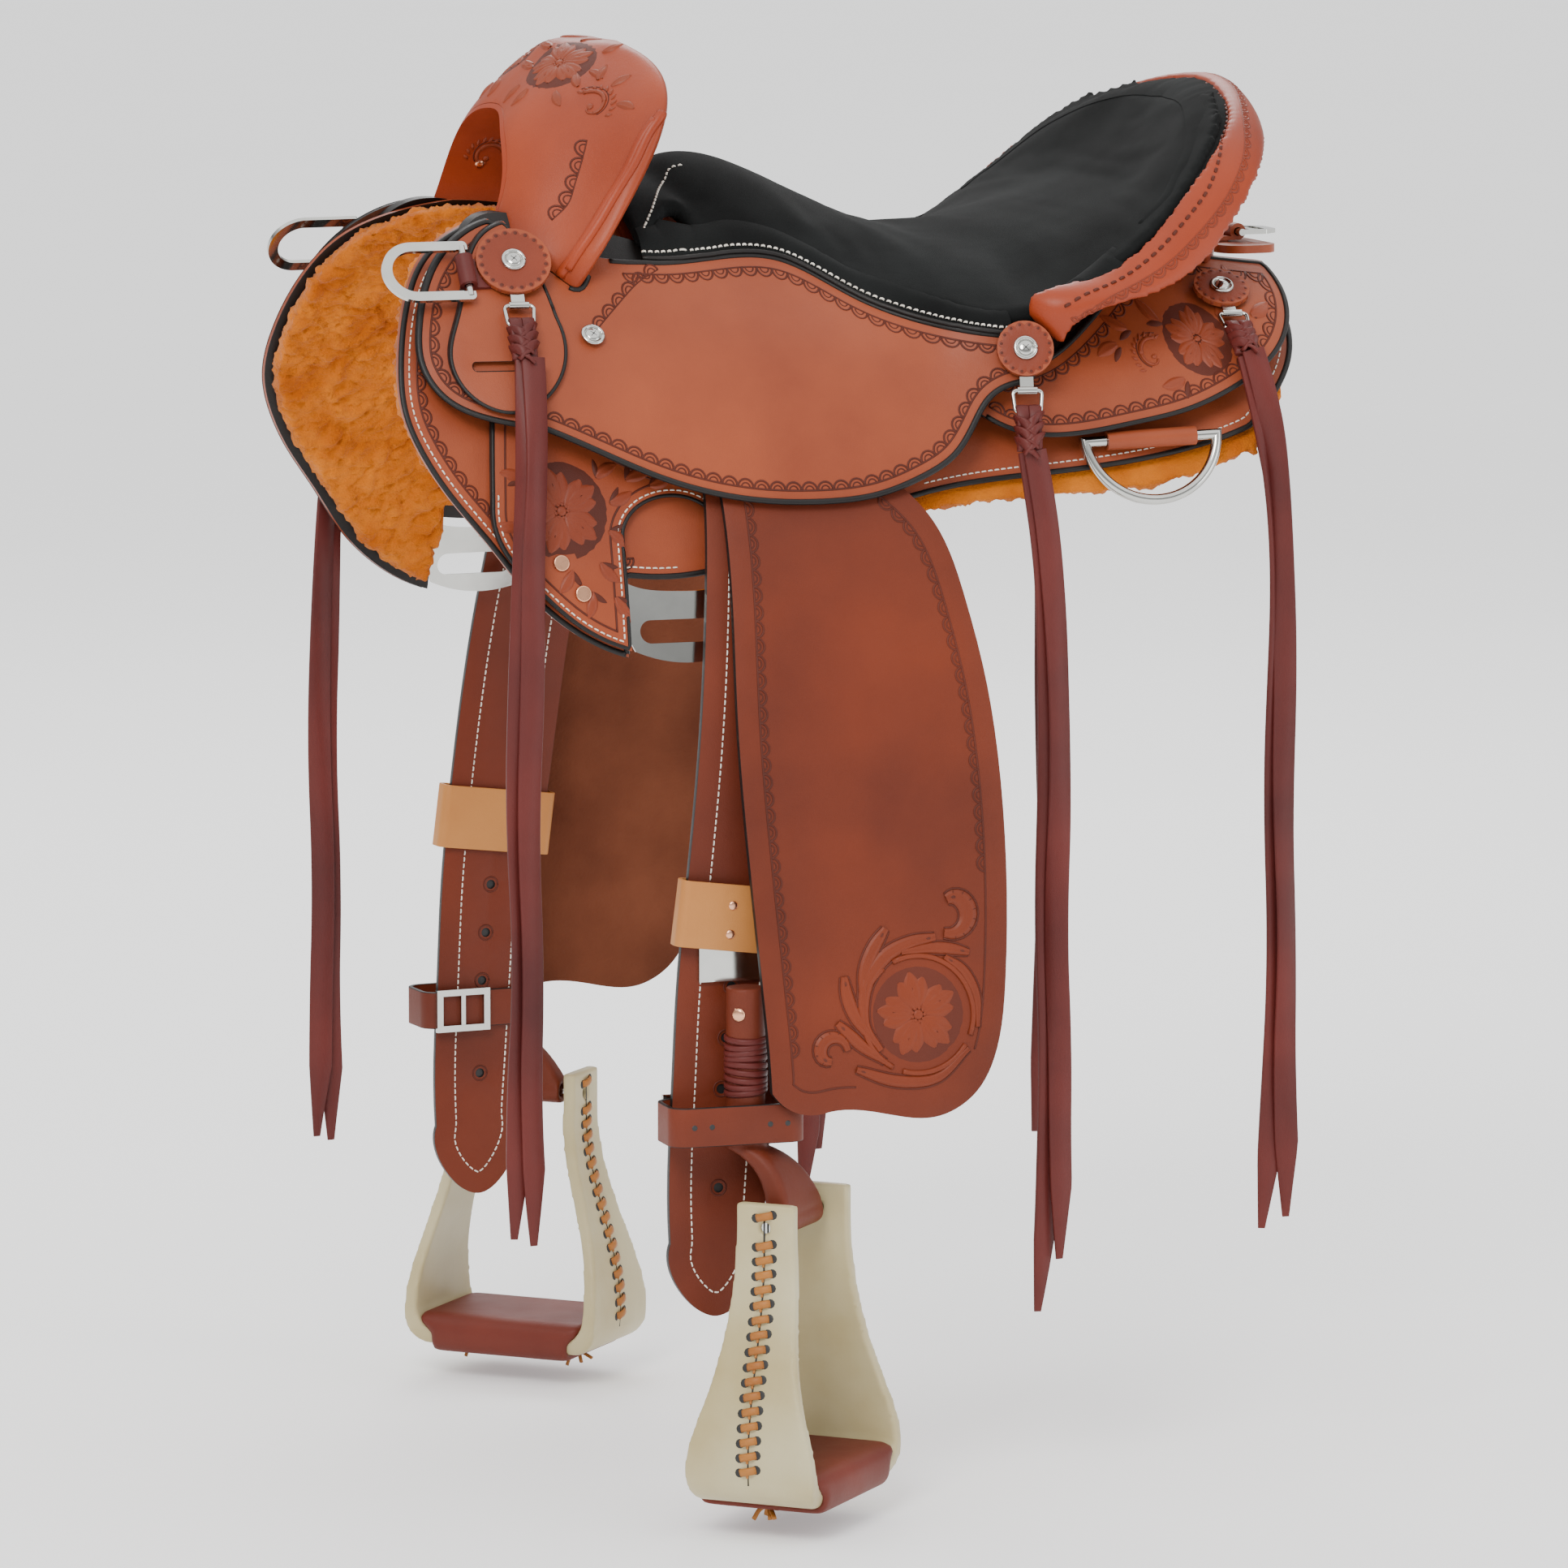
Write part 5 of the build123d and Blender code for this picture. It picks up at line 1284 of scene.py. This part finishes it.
ROSETTE_PROFILE = ((0.0, 0.1, 1.0), (0.0, 0.2, 1.0), (0.6, 1.0, 1.02), (2.4, 1.0, 1.02), (3.4, 1.0, 0.985),
                   (3.7, 0.9, 0.9), (3.6, 0.3, 0.62), (3.6, 0.0, 0.3))      # height, lobed share, radius share
SCREW_HEIGHT = 4.7
JOCKEY_SCREW = (-164, 28)


def rosettes():
    """Scalloped leather rosettes with cup washers and cross-head screws."""
    tool = on("saddle", TOOL_SHADE_AND_ROLL_LACE, "rosettes")
    steel, dark = on("saddle", STEEL, "concho_screws"), on("saddle", RECESS_SHADE, "concho_screws")
    disc = on("saddle", DARK_TAN, "rosettes")
    for _, g in SIDES:
        for centre, normal, up, radius, lobes in ROSETTES.values():
            centre, normal, up = (mirrored(v, g) for v in (centre, normal, up))
            across = up.cross(normal).normalized()
            count = lobes * 8
            verts = []
            for high, lobed, share in ROSETTE_PROFILE:
                for j in range(count):
                    t = 2 * math.pi * j / count
                    r = radius * share * (1.0 - 0.13 * lobed * (1 - abs(math.sin(lobes * t / 2))))
                    verts.append((centre + (across * math.cos(t) + up * math.sin(t)) * r + normal * high) * MM)
            disc.add(verts, capped(len(ROSETTE_PROFILE), count))
            # A dark dot in each lobe: painted shade of a pressed dent.
            for j in range(lobes):
                t = 2 * math.pi * (j + 0.5) / lobes
                way = across * math.cos(t) + up * math.sin(t)
                place = (centre + way * radius * 0.86 + normal * 3.7) * MM
                ball(tool, place, normal, radius * 0.055 * MM, 0.3 * MM, 3, 8)
            screw(steel, dark, centre + normal * SCREW_HEIGHT, normal, up)
        place, normal = Panel("concho_screws", g).at(*JOCKEY_SCREW)
        screw(steel, dark, place / MM, normal, Vector((0, 0, 1)))


def screw(steel, dark, centre, normal, up):
    """Cup washer round a domed cross-head screw; centre in millimetres."""
    across = up.cross(normal).normalized()
    up = normal.cross(across)
    ring = [(place * MM, normal) for place in around(centre, across, up, 6.9, 29)]
    ridge(steel, ring, 1.35 * MM, 0.8, 8)
    ball(steel, centre * MM, normal, 5.3 * MM, 1.7 * MM, 5, 20)
    # Dark cross on the dome: painted shade of the cross recess.
    for way in (across + up, up - across):
        way = way.normalized()
        spots = [((centre + way * t + normal * (1.55 - 0.03 * t * t)) * MM, normal) for t in (-2.6, 0, 2.6)]
        ridge(dark, spots, 0.55 * MM, 0.5, 4)


WRAP_AT, WRAP_TOP, WRAP_TURNS, WRAP_PITCH, WRAP_RADIUS = (-98.0, 258.0), -428.0, 9, 4.4, 13.4
LOOP_RIVET, LOOP_RIVET_OUT = (-106.8, 267.8, -411), (-0.66, 0.75, 0)
SLEEVE_RIVETS = ((-104, -341), (-106, -360))
HOBBLE_HOLES = (-88, -76, -128, -140)
LEATHER_HOLES = ((-102, -396), (-106, -430), (-109, -464), (-111, -530))
GULLET_TACK = ((-170, 50, 124), (0.0, -0.98, -0.2), (0, 0, 1))


def leg_work(side, g):
    """Latigo wrap, rivets and strap holes of one leg, the holes drawn in painted shade, and the tack inside the swell.
    """
    body = f"{side}_leg"
    wrap = on(body, BURGUNDY, "leather_loop")
    for k in range(WRAP_TURNS):
        ring = []
        for j in range(25):
            t = 2 * math.pi * j / 24
            out = Vector((math.cos(t), math.sin(t), 0))
            high = WRAP_TOP - k * WRAP_PITCH + 1.2 * math.sin(t + k)
            ring.append(((Vector((WRAP_AT[0], WRAP_AT[1] * g, high)) + out * WRAP_RADIUS) * MM, out))
        ridge(wrap, ring, 2.3 * MM, 0.55)
    copper = on(body, COPPER, "leather_loop")
    ball(copper, mirrored(LOOP_RIVET, g) * MM, mirrored(LOOP_RIVET_OUT, g), 4.6 * MM, 1.6 * MM)
    sleeve = Panel(f"{side}_sleeve", g)
    for spot in SLEEVE_RIVETS:
        ball(on(f"{side}_sleeve_ring", COPPER, "sleeve"), *sleeve.at(*spot), 3.2 * MM, 1.2 * MM)
    hobble = Panel(f"{side}_hobble_strap", g)
    # Dark dots on the hobble strap: painted shade of its holes.
    for x in HOBBLE_HOLES:
        ball(on(body, RECESS_SHADE, "hobble_strap"), *hobble.at(x, -483), 1.9 * MM, 0.35 * MM)
    # Dark ring and sunken dark disc: painted shade round and inside each hole.
    for inside in (True, False):
        strap = Panel(f"{side}_stirrup_leather", g, inside)
        for x, z in LEATHER_HOLES:
            ring = strap.run(arc(x, z, 5.2, 0, 2 * math.pi, 17))
            ridge(on(body, TOOL_SHADE_AND_ROLL_LACE, "stirrup_leather"), ring, 0.7 * MM, 0.5, 5)
            place = sum((p for p, _ in ring), Vector()) / len(ring)
            ball(on(body, RECESS_SHADE, "stirrup_leather"), place - ring[0][1] * 1.6 * MM, ring[0][1], 4.6 * MM, 0.3 * MM)
    lining = Panel("gullet_lining", g, aim=GULLET_TACK)
    ball(on("saddle", COPPER, "gullet_lining"), *lining.at(0, 0), 3.4 * MM, 1.6 * MM)
    # Scroll with its dark outline in painted shade.
    scroll(on("saddle", RELIEF, "gullet_lining"), on("saddle", TOOL_SHADE_AND_ROLL_LACE, "gullet_lining"), lining, 4, 4, 13, 0.4)


LACES, LACE_TOP, LACE_STEP = 18, 8.0, 9.7
STIRRUP_AT, STIRRUP_TURN = (-67.0, 266.0, -548.0), math.radians(135)


KNOT_DROP = 186
KNOT_ENDS = ((14, -12), (10, -16), (-12, -12), (-6, -18), (3, -22))


def stirrup_laces(side, g):
    """Lace stitches down the outer face of both branches, with their holes and a seam line in dark painted shade, and
    the thong knots.
    """
    tree = Panel(f"{side}_stirrup", g).tree
    body = f"{side}_stirrup_set"
    lace, dark, seam = on(body, THONG, "stirrup"), on(body, RECESS_SHADE, "stirrup"), on(body, NATURAL, "stirrup")
    centre = mirrored(STIRRUP_AT, g)
    wide = mirrored((math.cos(STIRRUP_TURN), math.sin(STIRRUP_TURN), 0), g)
    deep = mirrored((-math.sin(STIRRUP_TURN), math.cos(STIRRUP_TURN), 0), g)

    def spot(way, off, z):
        """Place and normal on the outer face of a branch, or None past its end."""
        start = (centre + wide * way * 160 + deep * off + Vector((0, 0, z))) * MM
        return tree.ray_cast(start, -wide * way)[:2]

    for way in (1, -1):
        line = []
        for k in range(LACES + 1):
            z = LACE_TOP - k * LACE_STEP
            middle, normal = spot(way, 0, z)
            if middle is None:
                continue
            line.append((middle, normal))
            ends = [spot(way, -6.0, z + 1.4), spot(way, 6.0, z - 1.4)]
            if k == LACES or any(p is None for p, _ in ends):
                continue
            (a, _), (b, _) = ends
            over = normal * 1.5 * MM
            under = normal * 0.6 * MM
            path = (a - under, a.lerp(middle, 0.35) + over, middle + normal * 2.1 * MM, b.lerp(middle, 0.35) + over,
                    b - under)
            ridge(lace, [(place, normal) for place in path], 2.7 * MM, 0.5, 7)
            # Dark dot at each lace end: painted shade of its hole.
            for place, out in ends:
                ball(dark, place, out, 3.2 * MM, 0.3 * MM, 3, 10)
            low, _ = spot(way, 0.6, z - LACE_STEP * 0.5)
            if low is not None:
                stitch(seam, middle, low, normal, 1.0 * MM)
        # Dark line down the seam of the branch: painted shade.
        ridge(dark, line, 0.7 * MM, 0.4, 5)
    knot = on(body, THONG, "stirrup_tread")
    for k, (a, b) in enumerate(KNOT_ENDS):
        for off in (-40, 40):
            start = centre + Vector((0, 0, -KNOT_DROP)) + wide * off
            path = [start, start + wide * a * 0.6 + deep * (k - 2) * 3 + Vector((0, 0, -3)),
                    start + wide * a + deep * (k - 2) * 5 + Vector((0, 0, b * 0.45))]
            band(knot, [p * MM for p in path], deep, 3.0 * MM, 1.6 * MM)


def plain_nodes():
    """Nodes shown as they are in the CAD take a material only."""
    kinds = {
        "rigging_plates": STEEL, "string_dees": STEEL, "hanger_bolts": STEEL, "rigging_rivets": COPPER,
        "crupper_dee": STEEL, "concho_screws": STEEL, "front_dee": STEEL, "rear_dee": STEEL, "leg_buckles": STEEL,
        "tree_bar": EDGE, "ground_seat": CHESTNUT, "gullet_lining": ROLL_TAN, "rosettes": CHESTNUT,
        "front_dee_loops": BURGUNDY, "rear_dee_straps": CHESTNUT, "rear_tab": CHESTNUT,
    }
    for name, made in NODES.items():
        kind = kind_of(name)
        if kind in kinds:
            made.data.materials.clear()
            made.data.materials.append(kinds[kind])


BOLT_SHRINK = 0.88     # its ends stay inside the covered branches


def tucked(place, _):
    """Draws the cantle's lower corners in under the roll, toward the bars."""
    low = min(1.0, max(0.0, (0.10 - place.z) / 0.07))
    front = min(1.0, max(0.0, (0.275 - place.x) / 0.07))
    return Vector((0.012 * low * front, -place.y * (0.24 * low + 0.10 * front), 0.0))


# Node, face dye, back dye, cut edge, width of the rounded rim.
PANELS = (
    ("skirt", CHESTNUT, EDGE, EDGE, 0.9), ("seat_jockey", CHESTNUT, FLESH, EDGE, 0.9),
    ("rear_jockey", CHESTNUT, FLESH, EDGE, 0.9), ("rigging_leather", CHESTNUT, FLESH, EDGE, 0.7),
    ("fender", FENDER_TAN, FLESH, EDGE, 0.9), ("stirrup_leather", STRAP_TAN, STRAP_TAN, EDGE, 0.9),
    ("hobble_strap", STRAP_TAN, STRAP_TAN, EDGE, 0.5), ("sleeve", NATURAL, NATURAL, NATURAL, 0.5),
)


def leather_nodes():
    """Dressed leather panels, and remeshed copies of the rounded pieces."""
    for side, g in SIDES:
        for kind, *look in PANELS:
            dress(f"{side}_{kind}", *look, g)
        soft_node(f"{side}_leather_loop", STRAP_TAN, 1.8, 4)
        soft_node(f"{side}_stirrup", RAWHIDE, 1.8, 8)
        soft_node(f"{side}_stirrup_tread", TREAD, 2.0, 45, swollen(1.2))
        bolt = NODES[f"{side}_stirrup_bolt"].data.copy()
        middle = mirrored(STIRRUP_AT, g) * MM
        for vertex in bolt.vertices:
            vertex.co = middle + (vertex.co - middle) * BOLT_SHRINK
        bolt.materials.clear()
        bolt.materials.append(STEEL)
        stand_in(f"{side}_stirrup_bolt", bolt)
    soft_node("tree_fork", WOOD, 3.0, 1, swollen(-2.2))
    soft_node("tree_cantle", EDGE, 3.0, 1, lambda mesh: shifted(mesh, lambda p, n: tucked(p, n) - n * 2.0 * MM))
    soft_node("cantle_back", DARK_TAN, 2.5, 8, lambda mesh: shifted(mesh, tucked))
    dress("latigo_keepers", CHESTNUT, CHESTNUT, EDGE, 0.9)
    dress("fork_cover", SWELL_TAN, SWELL_TAN, SWELL_TAN, 1.2)
    soft_node("cantle_roll", ROLL_TAN, 2.4, 5, swollen(0.5))


camera()
studio()
strings()
plain_nodes()
leather_nodes()
for side, g in SIDES:
    soft_node(f"{side}_fleece", WOOL, 2.8, 2, woolly(g))
seat_cushion()
for side, g in SIDES:
    skirt_trim(side, g)
    jockey_trims(side, g)
    rigging_trim(side, g)
    leg_trims(side, g)
    leg_work(side, g)
    stirrup_laces(side, g)
stamped_roll()
seat_stitching()
seat_gusset()
swell_work()
rosettes()
hang_decor()
